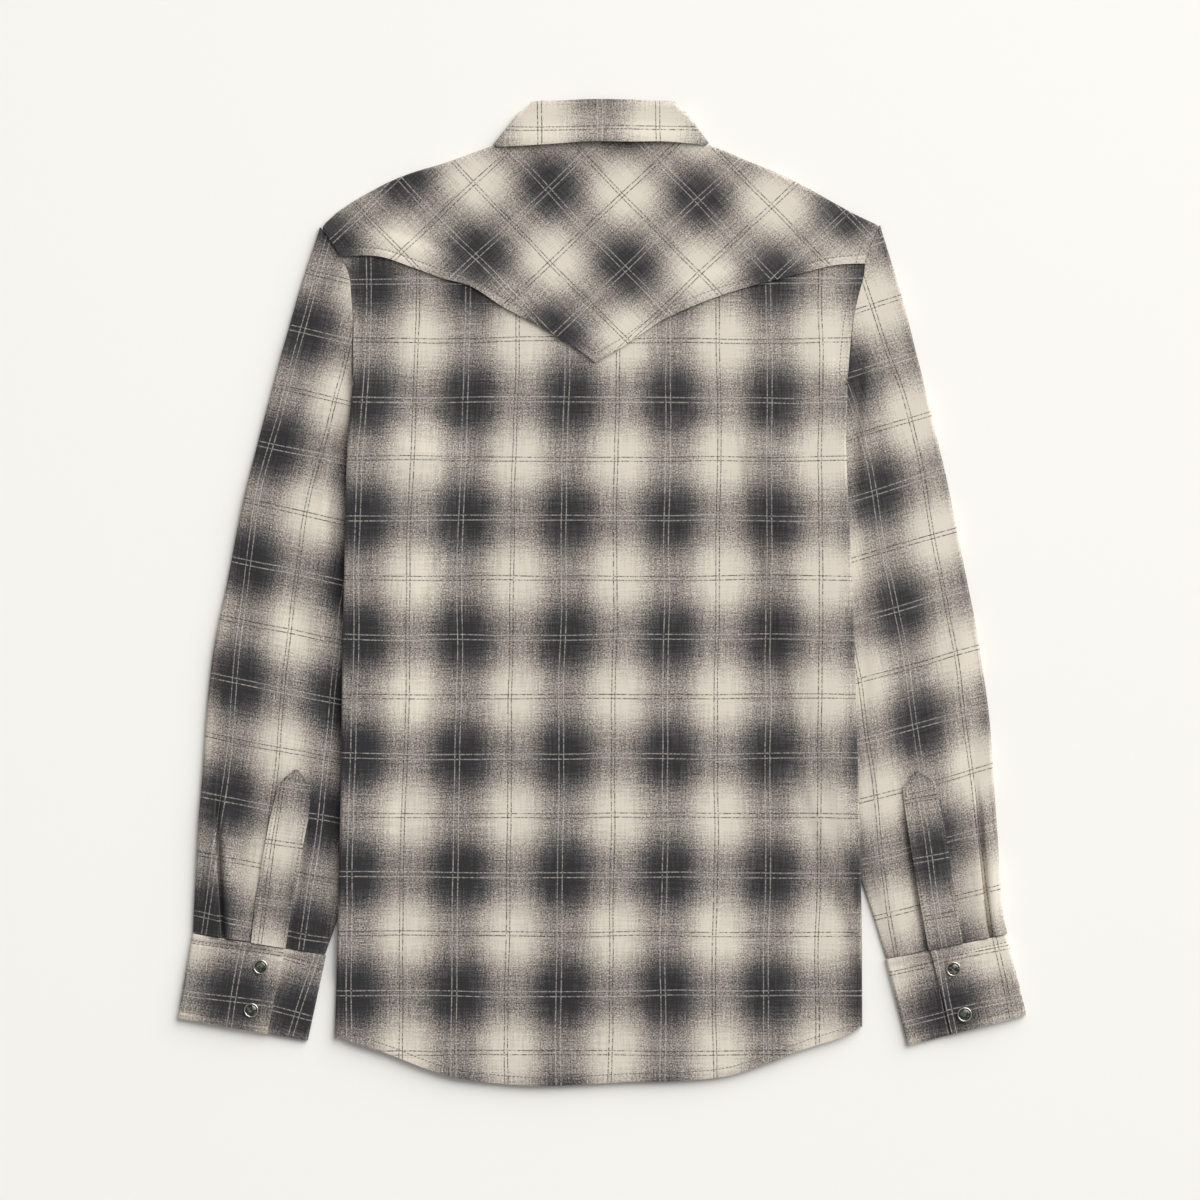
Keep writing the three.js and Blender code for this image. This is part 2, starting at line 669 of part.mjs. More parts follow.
// End of the yoke's turned edge under a shoulder, where it meets a front
function shoulderSeam(x) {
  const side = Math.sign(x);
  const tip = side < 0 ? TOP_EDGE[0].x : TOP_EDGE[TOP_EDGE.length - 1].x;
  const near = ease(1 - Math.abs(x - tip) / SHOULDER_TIP_BLEND);
  const seam = armholeX(side, HIGH_TOP);
  return {
    x: mix(x, seam - side * ARMHOLE_GAP / 2, near),
    y: mix(along(TOP_EDGE, 'x', x, 'y') - SHOULDER_TURN, HIGH_TOP + SEAM_GAP, near),
  };
}

// Back yoke: over the back's top edge, up to the neck, and turned over the shoulders
function backYoke() {
  const top = topColumns();
  const half = SHOULDER_CELLS + NECK_CELLS;
  const bottom = top.map((_, j) => {
    const from = YOKE_EDGE_LEFT[0].x;
    const middle = YOKE_EDGE_RIGHT[0].x;
    const to = YOKE_EDGE_RIGHT[YOKE_EDGE_RIGHT.length - 1].x;
    return j <= half ? mix(from, middle, j / half) : mix(middle, to, (j - half) / half);
  });
  const columns = top.map((topX, j) => {
    const side = Math.sign(topX);
    const end = j === 0 || j === top.length - 1;
    const shoulder = Math.abs(j - half) >= NECK_CELLS;
    const lowY = yokeEdge(bottom[j]);
    const lowX = end ? armholeX(side, lowY) - side * ARMHOLE_GAP / 2 : bottom[j];
    const edgeX = end ? topX - side * ARMHOLE_GAP / 2 : topX;
    const edgeY = along(TOP_EDGE, 'x', topX, 'y');
    const lowZ = lowerLayer(edgeX, edgeY);
    const radius = shoulder ? (upperLayer(edgeX, edgeY) - lowZ) / 2 + CLOTH / 2 : 0;
    const rise = edgeY - radius - lowY;
    const first = end ? HIGH_TOP + 2 - lowY : YOKE_LAP + 3;
    const second = Math.min(YOKE_SECOND_ROW, YOKE_SECOND_SHARE * rise);
    const reach = [0, first, second, mix(second, rise, 0.35), mix(second, rise, 0.7), rise];
    const column = reach.map((distance, i) => {
      const share = distance / rise;
      const y = lowY + distance;
      const x = end ? armholeX(side, y) - side * ARMHOLE_GAP / 2 : mix(lowX, edgeX, share);
      const lift = i < 2 ? YOKE_LIFT : 0;
      return new THREE.Vector3(x, y, upperLayer(x, y) + lift);
    });
    if (!shoulder) return [...column, ...new Array(SHOULDER_STEPS + 1).fill(null)];
    const high = column[column.length - 1];
    const turn = halfTurn(high, lowZ, { x: 0, y: 1 }, SHOULDER_STEPS);
    const seam = shoulderSeam(edgeX);
    const under = [0.1, 1].map((share) => {
      const x = mix(high.x, seam.x, share);
      const y = mix(high.y, seam.y, share);
      return new THREE.Vector3(x, y, lowerLayer(x, y));
    });
    return [...column, ...turn, ...under];
  });
  const rows = columns[0].map((_, i) => columns.map((column) => column[i]));
  return wall(rows, CLOTH);
}

// A front: from its side seam and armhole to the lap at the centre. The right front's lap
// lies on the left's.
function front(side) {
  const upper = side > 0;
  const seamCells = SHOULDER_CELLS + 2;
  const centre = [...FRONT_CENTRE_COLUMNS.map((x) => side * x), -side * FRONT_LAP];
  const neck = side < 0 ? NECK_LEFT : NECK_RIGHT;
  const tip = side < 0 ? TOP_EDGE[0].x : TOP_EDGE[TOP_EDGE.length - 1].x;
  const middle = (x, y, j) => {
    const base = lowerLayer(x, y);
    if (j <= seamCells) return base;
    return Math.max(base, LAP_RISE + CLOTH / 2) + (upper ? LAYER : 0);
  };
  const rows = LOW_SHARES.map((share) => {
    const start = sideOfRow(side, share);
    const row = [];
    for (let j = 0; j <= seamCells + 2; j += 1) {
      const x = j <= seamCells ? mix(start.seam, centre[0], j / seamCells) : centre[j - seamCells];
      const hem = along(BACK_HEM, 'x', x, 'y') + FRONT_HEM_RISE;
      const y = mix(mix(hem, FOLD_START, share), start.seamY, ease(1 - j / FRONT_SEAM_COLUMNS));
      row.push(new THREE.Vector3(x, y, middle(x, y, j)));
    }
    return row;
  });
  const lowRow = rows[rows.length - 1];
  for (const level of HIGH_LEVELS) {
    const share = (level - FOLD_START) / (HIGH_TOP - FOLD_START);
    const row = lowRow.map((low, j) => {
      let x = centre[j - seamCells];
      if (j < SHOULDER_CELLS) x = shoulderSeam(mix(tip, neck, j / SHOULDER_CELLS)).x;
      else if (j < seamCells) x = mix(neck, centre[0], (j - SHOULDER_CELLS) / 2);
      const shoulderX = mix(tip, neck, j / SHOULDER_CELLS);
      const topY = j <= SHOULDER_CELLS
        ? shoulderSeam(shoulderX).y - SEAM_GAP
        : along(FRONT_NECK, 'x', x, 'y');
      if (j === 0) {
        const seam = armholeX(side, level) - side * ARMHOLE_GAP / 2;
        return new THREE.Vector3(seam, level, middle(seam, level, j));
      }
      const placeX = mix(low.x, x, share);
      const placeY = mix(low.y, topY, share);
      return new THREE.Vector3(placeX, placeY, middle(placeX, placeY, j));
    });
    rows.push(row);
  }
  return wall(rows, CLOTH);
}

// Rise of a sleeve's top at its pleat above the cuff: a soft ridge, steep towards its valley
function pleatRise(pleat, across, down) {
  const grown = ease((down - pleat.from) / (1 - pleat.from));
  const away = pleat.valley * (across - pleat.across) / pleat.width;
  const ridge = Math.exp(-(away < 0 ? 1 : PLEAT_SHARPNESS) * away * away);
  const valley = away > 0 ? Math.exp(-((away - VALLEY_PLACE) ** 2) * VALLEY_SHARPNESS) : 0;
  return pleat.rise * grown * (ridge - VALLEY_SHARE * valley);
}

// Sleeve: a flattened tube, flat below, that thins towards its hidden inner edge
function sleeve(measures) {
  const sections = spaced(measures.sections);
  const armhole = spaced(measures.armhole);
  const hidden = HIDDEN[measures.side < 0 ? 0 : 1];
  const ends = {
    outer: { x: sections[0].outerX, y: sections[0].outerY },
    inner: { x: sections[0].innerX, y: sections[0].innerY },
  };
  const inner = armhole.length - 1;
  const across = armhole.map((_, k) => k / inner);
  const pleatAt = across.findIndex((share) => share > PLEAT_COLUMNS[0]);
  across.splice(pleatAt, 0, ...PLEAT_COLUMNS);
  const rows = [];
  for (let i = 0; i <= SLEEVE_ROWS; i += 1) {
    const down = i / SLEEVE_ROWS;
    const at = (column) => along(sections, 'at', down, column);
    const width = Math.hypot(at('outerX') - at('innerX'), at('outerY') - at('innerY'));
    const fade = Math.max(1 - (down / HEAD_LENGTH) ** 2, 0) ** 2;
    const place = (share) => {
      const bulgeX = along(armhole, 'at', share, 'x') - mix(ends.outer.x, ends.inner.x, share);
      const bulgeY = along(armhole, 'at', share, 'y') - mix(ends.outer.y, ends.inner.y, share);
      const seam = i === 0 ? measures.side * ARMHOLE_GAP / 2 : 0;
      return {
        x: mix(at('outerX'), at('innerX'), share) + bulgeX * fade + seam,
        y: mix(at('outerY'), at('innerY'), share) + bulgeY * fade,
      };
    };
    const first = (SLEEVE_HEIGHT / 2) / width;
    const last = 1 - (SLEEVE_EDGE_HEIGHT / 2) / width;
    const shares = across.map((share) => Math.min(Math.max(share, first), last));
    const top = shares.map((share) => {
      const { x, y } = place(share);
      const height = sleeveTop(depthInSleeve(hidden, x, y) > 0 || y > FOLD_TOP
        ? distanceTo(hidden.run, x, y) : 0);
      const z = height - CLOTH / 2 + pleatRise(measures.pleat, share, down);
      return new THREE.Vector3(x, y, z);
    });
    const bottom = shares.filter((_, k) => k < pleatAt || k >= pleatAt + PLEAT_COLUMNS.length)
      .map((share) => new THREE.Vector3(place(share).x, place(share).y, CLOTH / 2));
    const outward = (points) => {
      const away = points[0].clone().sub(points[1]).setZ(0).normalize();
      return { x: away.x, y: away.y };
    };
    const count = top.length;
    const inward = outward([top[count - 1], top[count - 2]]);
    const innerTurn = halfTurn(top[count - 1], CLOTH / 2, inward, INNER_TURN_STEPS);
    const outerTurn = halfTurn(top[0], CLOTH / 2, outward(top), TURN_STEPS).reverse();
    rows.push([...top, ...innerTurn, ...bottom.reverse(), ...outerTurn]);
  }
  return wall(rows, CLOTH, true);
}

// Sleeve placket: a pointed strip that lies on the sleeve's top
function sleevePlacket(rows) {
  const grid = rows.map((row) => [0, 0.5, 1].map((share) => {
    const x = mix(row.leftX, row.rightX, share);
    const y = mix(row.leftY, row.rightY, share);
    return new THREE.Vector3(x, y, SLEEVE_HEIGHT + SEAM_GAP + CLOTH / 2);
  }));
  return wall(grid, CLOTH);
}

// Cuff: one band from its hidden lower end, round the inner side, below, round the outer
// side, and over the lower end
function cuff(measures) {
  const lowZ = CUFF_CLOTH / 2;
  const underZ = lowZ + CUFF_CLOTH + CUFF_HOLLOW;
  const overZ = underZ + CUFF_CLOTH + SEAM_GAP;
  const underEnd = measures.overlapEnd - CUFF_LAP;
  const rows = CUFF_ROWS.map((down) => {
    const outer = {
      x: mix(measures.topOuter.x, measures.lowOuter.x, down),
      y: mix(measures.topOuter.y, measures.lowOuter.y, down),
    };
    const inner = {
      x: mix(measures.topInner.x, measures.lowInner.x, down),
      y: mix(measures.topInner.y, measures.lowInner.y, down),
    };
    const width = Math.hypot(inner.x - outer.x, inner.y - outer.y);
    const toInner = { x: (inner.x - outer.x) / width, y: (inner.y - outer.y) / width };
    const toOuter = { x: -toInner.x, y: -toInner.y };
    const point = (share, z) => new THREE.Vector3(
      mix(outer.x, inner.x, share), mix(outer.y, inner.y, share), z,
    );
    const turnIn = ((underZ - lowZ) / 2 + CUFF_CLOTH / 2) / width;
    const outerZ = overZ - CUFF_OUTER_DROP;
    const turnOut = ((outerZ - lowZ) / 2 + CUFF_CLOTH / 2) / width;
    const underTop = point(1 - turnIn, underZ);
    const overTop = point(turnOut, outerZ);
    return [
      point(underEnd, underZ),
      point(measures.overlapEnd + CUFF_FLAT, underZ),
      underTop,
      ...halfTurn(underTop, lowZ, toInner, INNER_TURN_STEPS),
      point(1 - turnIn, lowZ),
      point(0.5, lowZ),
      point(turnOut, lowZ),
      ...halfTurn(overTop, lowZ, toOuter, TURN_STEPS).reverse(),
      overTop,
      point(underEnd - CUFF_RAMP, overZ),
      point(measures.overlapEnd, overZ),
    ];
  });
  return wall(rows, CUFF_CLOTH);
}

// Collar leaf: its back falls over the stand, and its ends turn under to the two points
function collarLeaf() {
  const backZ = BACK_LOW + LAYER + LAYER_CLEARANCE;
  const rowOf = (row, z, curled) => LEAF_SHARES.map((share, k) => new THREE.Vector3(
    mix(row.foldX, row.edgeX, share),
    mix(row.foldY, row.edgeY, share),
    z - (curled ? LEAF_CURL[k] : 0),
  ));
  const endRows = (side) => {
    const outline = side < 0 ? LEAF_BACK[0] : LEAF_BACK[LEAF_BACK.length - 1];
    const out = { x: side * LEAF_TURN.x, y: LEAF_TURN.y };
    const radius = (backZ - CLOTH / 2) / 2 + CLOTH / 2;
    const start = {
      foldX: outline.foldX - out.x * radius,
      foldY: outline.foldY - out.y * radius,
      edgeX: outline.edgeX - out.x * radius,
      edgeY: outline.edgeY + LEAF_CORNER_LIFT - out.y * radius * LEAF_TURN_DROP,
    };
    const high = rowOf(start, backZ, true);
    const turns = high.map((point) => halfTurn(point, CLOTH / 2, out, TURN_STEPS));
    const turnRows = turns[0].map((_, k) => turns.map((turn) => turn[k]));
    const wing = [];
    for (let k = 0; k <= WING_CELLS; k += 1) {
      const share = k / WING_CELLS;
      const row = {
        foldX: mix(start.foldX, side * LEAF_POINT.foldX, share),
        foldY: mix(start.foldY, LEAF_POINT.foldY, share),
        edgeX: mix(start.edgeX, side * LEAF_POINT.edgeX, share),
        edgeY: mix(start.edgeY, LEAF_POINT.edgeY, share),
      };
      wing.push(rowOf(row, CLOTH / 2, false));
    }
    return [high, ...turnRows, ...wing];
  };
  const back = LEAF_BACK.slice(1, -1).map((row) => rowOf(row, backZ, true));
  return wall([...endRows(-1).reverse(), ...back, ...endRows(1)], CLOTH);
}

// Collar stand: a band from its left end at the centre front, round the back of the neck
function collarStand() {
  const backZ = BACK_LOW;
  const frontZ = LAP_RISE + CLOTH / 2;
  const row = (low, high, z) => [0, 0.5, 1].map((share) => new THREE.Vector3(
    mix(low.x, high.x, share), mix(low.y, high.y, share), z,
  ));
  const end = (side) => {
    const low = { x: side * STAND_END.lowX, y: STAND_END.lowY };
    const start = row(low, { x: side * STAND_END.highX, y: STAND_END.highY }, backZ);
    const out = { x: side, y: 0 };
    const turns = start.map((point) => halfTurn(point, frontZ, out, INNER_TURN_STEPS));
    const turnRows = turns[0].map((_, k) => turns.map((turn) => turn[k]));
    const bands = STAND_FRONT.map((band) => {
      const x = side * band.x;
      const foot = { x, y: band.low ?? along(FRONT_NECK, 'x', x, 'y') + 2 * SEAM_GAP };
      const lapped = side > 0 && band.x < STAND_LAP;
      return row(foot, { x: side * band.highX, y: band.highY }, frontZ + (lapped ? LAYER : 0));
    });
    return [start, ...turnRows, ...bands];
  };
  const columns = topColumns().filter((x) => Math.abs(x) < STAND_END.lowX);
  const back = columns.map((x) => {
    const highX = x * STAND_TOP_SHARE;
    const high = { x: highX, y: along(LEAF_BACK, 'foldX', highX, 'foldY') - STAND_INSET };
    return row({ x, y: along(TOP_EDGE, 'x', x, 'y') + 1.5 * SEAM_GAP }, high, backZ);
  });
  return wall([...end(-1).reverse(), ...back, ...end(1)], CLOTH);
}

// A turned piece of a snap, from its profile of distances across and heights
function turned(name, profile, place, color, metalness) {
  const points = profile.map(([across, up]) => new THREE.Vector2(across, up));
  const geometry = new THREE.LatheGeometry(points, SNAP_SIDES);
  geometry.rotateX(Math.PI / 2);
  const material = new THREE.MeshStandardMaterial({ color, roughness: 0.25, metalness });
  const mesh = new THREE.Mesh(geometry, material);
  mesh.name = name;
  mesh.position.copy(place);
  return mesh;
}

// Snap cap: a shallow dome
function snapCap(name, place, radius, height) {
  const profile = [[0, 0], [radius, 0], [radius, height * 0.45], [radius * 0.66, height * 0.82],
    [0, height]];
  return turned(name, profile, place, CAP_COLOR, 0);
}

// Snap rim: the metal ring that grips the cap
function snapRim(name, place) {
  const inner = SNAP_CAP_RADIUS + SEAM_GAP;
  const crest = (inner + SNAP_RADIUS) / 2;
  const profile = [[inner, 0], [SNAP_RADIUS, 0], [SNAP_RADIUS, SNAP_RIM_HEIGHT * 0.6],
    [crest, SNAP_RIM_HEIGHT], [inner, SNAP_RIM_HEIGHT * 0.8], [inner, 0]];
  return turned(name, profile, place, RIM_COLOR, 0.9);
}

const shirt = new THREE.Group();
shirt.name = 'western_snap_shirt';
shirt.add(cloth('back_panel', backPanel()));
shirt.add(cloth('back_yoke', backYoke()));
shirt.add(cloth('front_left', front(-1)));
shirt.add(cloth('front_right', front(1)));
shirt.add(cloth('collar_leaf', collarLeaf()));
shirt.add(cloth('collar_stand', collarStand()));
shirt.add(cloth('sleeve_left', sleeve(SLEEVE_LEFT)));
shirt.add(cloth('sleeve_right', sleeve(SLEEVE_RIGHT)));
shirt.add(cloth('placket_left', sleevePlacket(PLACKET_LEFT)));
shirt.add(cloth('placket_right', sleevePlacket(PLACKET_RIGHT)));
shirt.add(cloth('cuff_left', cuff(CUFF_LEFT)));
shirt.add(cloth('cuff_right', cuff(CUFF_RIGHT)));

const cuffTop = CUFF_CLOTH * 3 + CUFF_HOLLOW + 2 * SEAM_GAP;
for (const [side, measures] of [['left', CUFF_LEFT], ['right', CUFF_RIGHT]]) {
  measures.snaps.forEach((snap, i) => {
    const place = new THREE.Vector3(snap.x, snap.y, cuffTop);
    shirt.add(snapCap(`snap_cap_${side}_${i + 1}`, place, SNAP_CAP_RADIUS, SNAP_HEIGHT));
    shirt.add(snapRim(`snap_rim_${side}_${i + 1}`, place));
  });
}
for (let i = 0; i < FRONT_SNAP_COUNT; i += 1) {
  const place = new THREE.Vector3(0, FRONT_SNAP_TOP - i * FRONT_SNAP_PITCH, LAP_RISE - SEAM_GAP);
  const snap = snapCap(`snap_front_${i + 1}`, place, SNAP_RADIUS, FRONT_SNAP_HEIGHT);
  snap.rotation.x = Math.PI;
  shirt.add(snap);
}

export default shirt;
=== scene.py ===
"""Western snap shirt of brushed ombre plaid flannel, laid flat face down and seen from the back."""

import math

import bpy
import numpy as np
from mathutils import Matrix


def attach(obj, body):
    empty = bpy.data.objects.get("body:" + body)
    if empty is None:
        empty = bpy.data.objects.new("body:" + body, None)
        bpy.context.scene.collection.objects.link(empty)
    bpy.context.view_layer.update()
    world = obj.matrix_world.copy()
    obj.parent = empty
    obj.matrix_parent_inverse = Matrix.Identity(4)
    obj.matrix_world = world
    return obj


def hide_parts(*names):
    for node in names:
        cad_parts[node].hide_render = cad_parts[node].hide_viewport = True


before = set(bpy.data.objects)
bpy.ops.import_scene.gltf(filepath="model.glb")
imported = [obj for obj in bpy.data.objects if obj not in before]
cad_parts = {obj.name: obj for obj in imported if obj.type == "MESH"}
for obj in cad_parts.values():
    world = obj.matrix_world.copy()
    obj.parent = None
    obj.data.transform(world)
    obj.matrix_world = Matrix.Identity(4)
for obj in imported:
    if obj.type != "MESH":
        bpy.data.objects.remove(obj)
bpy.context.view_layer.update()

# Studio
# A plain pale sweep with one large soft light low at the upper right, which throws the soft
# shadows to the left and below, and a weak fill. The camera looks straight down.
MM = 0.001
FRAME_WIDTH = 996 * MM
CAMERA_HEIGHT = 3.0
CAMERA_PLACE = (-1.7 * MM, -6.2 * MM)


def linear(hex_colour):
    """An sRGB hex colour as the linear colour that a shader takes."""
    parts = [int(hex_colour[i:i + 2], 16) / 255 for i in (1, 3, 5)]
    return [p / 12.92 if p < 0.04045 else ((p + 0.055) / 1.055) ** 2.4 for p in parts] + [1.0]


def add_node(tree, kind, inputs=None, **settings):
    """Adds a node with its settings. Each input is a value, or another node's output."""
    made = tree.nodes.new(kind)
    for key, value in settings.items():
        setattr(made, key, value)
    for key, value in (inputs or {}).items():
        if isinstance(value, bpy.types.NodeSocket):
            tree.links.new(value, made.inputs[key])
        else:
            made.inputs[key].default_value = value
    return made


def new_material(name):
    material = bpy.data.materials.new(name)
    material.use_nodes = True
    material.node_tree.nodes.clear()
    return material, material.node_tree


def finish_material(tree, shader):
    add_node(tree, "ShaderNodeOutputMaterial", {"Surface": shader.outputs[0]})


# Matt painted board: an even off-white with no gloss.
paper, paper_tree = new_material("matt_white_board")
paper_grain = add_node(paper_tree, "ShaderNodeTexNoise", {"Scale": 3.0, "Detail": 1.0})
paper_shade = add_node(paper_tree, "ShaderNodeMix", {
    "Factor": paper_grain.outputs[0], 6: linear("#f6f4ef"), 7: linear("#f9f7f2"),
}, data_type="RGBA")
finish_material(paper_tree, add_node(paper_tree, "ShaderNodeBsdfPrincipled", {
    "Base Color": paper_shade.outputs[2], "Roughness": 0.9, "Specular IOR Level": 0.1,
}))

bpy.ops.mesh.primitive_plane_add(size=30, location=(0, 0, -0.05 * MM))
floor = bpy.context.object
floor.name = "floor"
floor.data.materials.append(paper)

camera_data = bpy.data.cameras.new("camera")
camera_data.sensor_width = 36
camera_data.lens = camera_data.sensor_width * CAMERA_HEIGHT / FRAME_WIDTH
camera = bpy.data.objects.new("camera", camera_data)
camera.location = (*CAMERA_PLACE, CAMERA_HEIGHT)
bpy.context.scene.collection.objects.link(camera)
bpy.context.scene.camera = camera
bpy.context.scene.view_settings.view_transform = "Standard"

# A far, even key light, so the sweep stays equally pale from side to side
key_data = bpy.data.lights.new("key", "SUN")
key_data.energy = 3.72
key_data.angle = math.radians(60)
fill_data = bpy.data.lights.new("overhead", "AREA")
fill_data.size = 1.8
fill_data.energy = 14
for light_data, light_place in ((key_data, (1.6, 1.75, 1.25)), (fill_data, (0.9, 1.0, 2.4))):
    light = bpy.data.objects.new(light_data.name, light_data)
    light.location = light_place
    aim = -light.location
    light.rotation_euler = aim.to_track_quat("-Z", "Y").to_euler()
    bpy.context.scene.collection.objects.link(light)

world = bpy.data.worlds.new("studio")
world.use_nodes = True
world.node_tree.nodes["Background"].inputs["Color"].default_value = linear("#ffffff")
world.node_tree.nodes["Background"].inputs["Strength"].default_value = 0.32
bpy.context.scene.world = world

# Sleeves
# Each sleeve is one piece of brushed cotton flannel, joined to the body by a felled seam at
# the armhole and pleated into its cuff. It lies as a flattened tube, with its inner half
# under the body. The check follows the sleeve's own straight of grain.
CLOTH = 1.2
SEAM_GAP = 0.3
LAYER = CLOTH + SEAM_GAP
SLEEVE_HEIGHT = 5.4
SLEEVE_EDGE_HEIGHT = 2.8
SLEEVE_TAPER = 20
ARMHOLE_GAP = 0.5
HEAD_LENGTH = 0.45
FOLD_TOP = 176.4
SLEEVE_ROWS = 190
SLEEVE_TOP_COLUMNS = 72
SLEEVE_UNDER_COLUMNS = 28
# Columns outside a pleat's fold, and places in its valley beside the fold
PLEAT_OUTER_COLUMNS = 15
PLEAT_STEPS = np.array([0.3, 1.8, 3.0, 4.0, 5.2, 6.6])
PLEAT_RIDGE_WIDTH = 11
PLEAT_GROOVE = 2.8
PLEAT_GROOVE_SLOPE = 3.2
# The puff beyond a pleat's valley: its height as a share of the ridge's, its place and width
PUFF_SHARE = 1.05
PUFF_PLACE = 8.5
PUFF_WIDTH = 6

# The woven check: its repeat across and along the cloth
CHECK_WIDTH = 84.8
CHECK_LENGTH = 98.4

# armhole: x, y from the shoulder down. sections: outer x, outer y, inner x, inner y.
# pleat: x, y along the pleat's folded edge. folds: x, y, lean, length, width, height.
# slit: x, y along the open slit beside the placket. beside_body: y and depth of the hollow
# where the cloth sinks beside the body's edge. warp: x, y along a white pair that runs down
# the sleeve. crossing: y where a white pair crosses it. weft: y and slope of the pairs across.
SLEEVES = {
    "left": {
        "side": -1,
        "armhole": np.array([
            (-233.2, 302.5), (-223.3, 288.8), (-215.0, 275.1), (-209.2, 261.9), (-207.5, 244.4),
            (-206.3, 222.9), (-206.3, 176.4), (-188.4, 146.0), (-163.5, 124.0), (-137.8, 114.1),
        ]),
        "sections": np.array([
            (-233.2, 302.5, -137.8, 114.1), (-250.7, 248.6, -142.0, 86.0),
            (-264.0, 201.0, -147.0, 56.0), (-277.2, 154.0, -152.0, 26.0),
            (-291.0, 101.0, -157.7, -6.2), (-303.0, 47.7, -164.0, -44.0),
            (-312.9, -2.9, -171.8, -82.0), (-322.0, -48.6, -179.0, -118.0),
            (-327.5, -95.0, -186.0, -150.0), (-331.0, -145.7, -193.0, -180.0),
            (-334.0, -190.0, -201.0, -208.0), (-336.5, -232.0, -210.0, -240.0),
            (-338.2, -261.0, -219.2, -270.2), (-339.1, -281.4, -229.5, -299.8),
        ]),
        "pleat": np.array([
            (-317.9, -140.0), (-321.2, -181.4), (-320.4, -207.0), (-318.7, -241.1),
            (-316.2, -283.0),
        ]),
        "pleat_height": 3.8,
        "pleat_depth": 2.7,
        "pleat_length": 150,
        "folds": [
            (-262, 190, -0.32, 60, 13, 1.3), (-240, 120, -0.25, 80, 11, -1.2),
            (-286, 40, -0.24, 90, 15, 1.4), (-252, -20, -0.20, 80, 13, -1.3),
            (-306, -80, -0.14, 80, 11, 1.2), (-268, -110, -0.10, 60, 12, 1.2),
            (-300, -200, -0.05, 60, 9, -0.9), (-240, -230, -0.30, 40, 11, 1.1),
        ],
        "slit": np.array([(-260.5, -296.0), (-254.0, -257.0), (-246.8, -217.0), (-243.0, -196.0)]),
        "beside_body": np.array([(-310, 1.8), (-230, 2.7), (-60, 3.0), (120, 3.0), (158, 0)]),
        "beside_width": 12,
        "warp": np.array([
            (-213.0, 340.0), (-236.0, 260.0), (-247.4, 220.3), (-263.7, 161.0), (-283.0, 86.8),
            (-293.3, 21.3), (-302.2, -48.3), (-308.2, -122.4), (-318.0, -200.0),
            (-330.0, -285.0), (-338.0, -340.0),
        ]),
        "crossing": 121.8,
        "weft": np.array([(-300, 0.195), (300, 0.24)]),
    },
    "right": {
        "side": 1,
        "armhole": np.array([
            (229.9, 304.2), (222.9, 288.8), (218.3, 275.1), (216.5, 261.9), (211.9, 244.4),
            (207.7, 222.9), (203.4, 176.4), (190.0, 146.0), (165.0, 124.0), (139.4, 114.1),
        ]),
        "sections": np.array([
            (229.9, 304.2, 139.4, 114.1), (246.5, 249.4, 144.0, 86.0),
            (257.7, 207.0, 149.0, 58.0), (268.9, 163.9, 154.5, 28.0),
            (283.5, 100.8, 160.2, -6.2), (294.0, 52.7, 167.0, -43.0),
            (303.8, 2.1, 174.3, -80.9), (313.0, -45.7, 181.0, -115.0),
            (320.4, -95.0, 187.6, -147.3), (324.5, -149.0, 195.0, -180.0),
            (327.0, -198.8, 203.0, -212.0), (329.5, -241.2, 215.0, -239.4),
            (332.0, -268.0, 226.6, -273.5), (335.3, -282.6, 235.7, -303.4),
        ]),
        "pleat": np.array([
            (306.5, -150.0), (309.6, -181.0), (312.8, -217.0), (314.4, -241.0),
            (316.5, -268.0), (320.0, -286.0),
        ]),
        "pleat_height": 2.8,
        "pleat_depth": 2.7,
        "pleat_length": 120,
        "folds": [
            (240, 200, 0.30, 60, 12, 1.2), (228, 90, 0.20, 90, 12, -1.2),
            (268, 40, 0.22, 90, 14, 1.4), (248, -60, 0.20, 80, 12, -1.4),
            (296, -60, 0.14, 90, 10, 1.3), (310, -110, 0.10, 60, 8, -1.0),
            (232, -150, 0.16, 70, 12, 1.1), (290, -230, 0.05, 60, 8, -0.9),
            (236, -250, 0.30, 40, 10, 1.1),
        ],
        "slit": np.array([(268.6, -298.0), (260.4, -252.0), (252.8, -205.0), (250.0, -190.0)]),
        "beside_body": np.array([(-310, 0.7), (40, 1.1), (110, 2.2), (140, 3.0), (182, 3.0),
                                 (205, 0)]),
        "beside_width": 9,
        "warp": np.array([
            (142.0, 340.0), (158.0, 300.0), (181.0, 232.8), (195.0, 192.0), (210.9, 147.7),
            (225.7, 83.2), (234.0, 36.2), (243.5, -12.8), (252.4, -60.2), (259.0, -109.1),
            (264.4, -146.2), (271.0, -206.0), (277.0, -250.0), (285.0, -300.0), (291.0, -340.0),
        ]),
        "crossing": 83.2,
        "weft": np.array([(-300, 0.25), (-50, 0.28), (100, 0.30), (300, 0.34)]),
    },
}
# A white pair's distance across the cloth for each millimetre across the lying sleeve
WARP_SPREAD = 1.06
# y, left x, right x of the body's visible sides, which lie over the sleeves
BODY_SIDES = np.array([
    (278.5, -216.6, 218.7), (261.9, -209.2, 216.5), (244.4, -207.5, 211.9),
    (222.9, -206.3, 207.7), (176.4, -206.3, 203.4), (152.3, -208.3, 203.0),
    (124.1, -210.8, 202.1), (66.8, -212.5, 204.2), (9.5, -213.7, 207.3),
    (-47.7, -215.0, 209.0), (-158.1, -216.3, 212.3), (-272.7, -218.9, 215.1),
    (-372.0, -221.8, 215.9),
])


def ease(value):
    """A smooth step from 0 to 1."""
    t = np.clip(value, 0, 1)
    return t * t * (3 - 2 * t)


def mix(start, end, share):
    return start + (end - start) * share


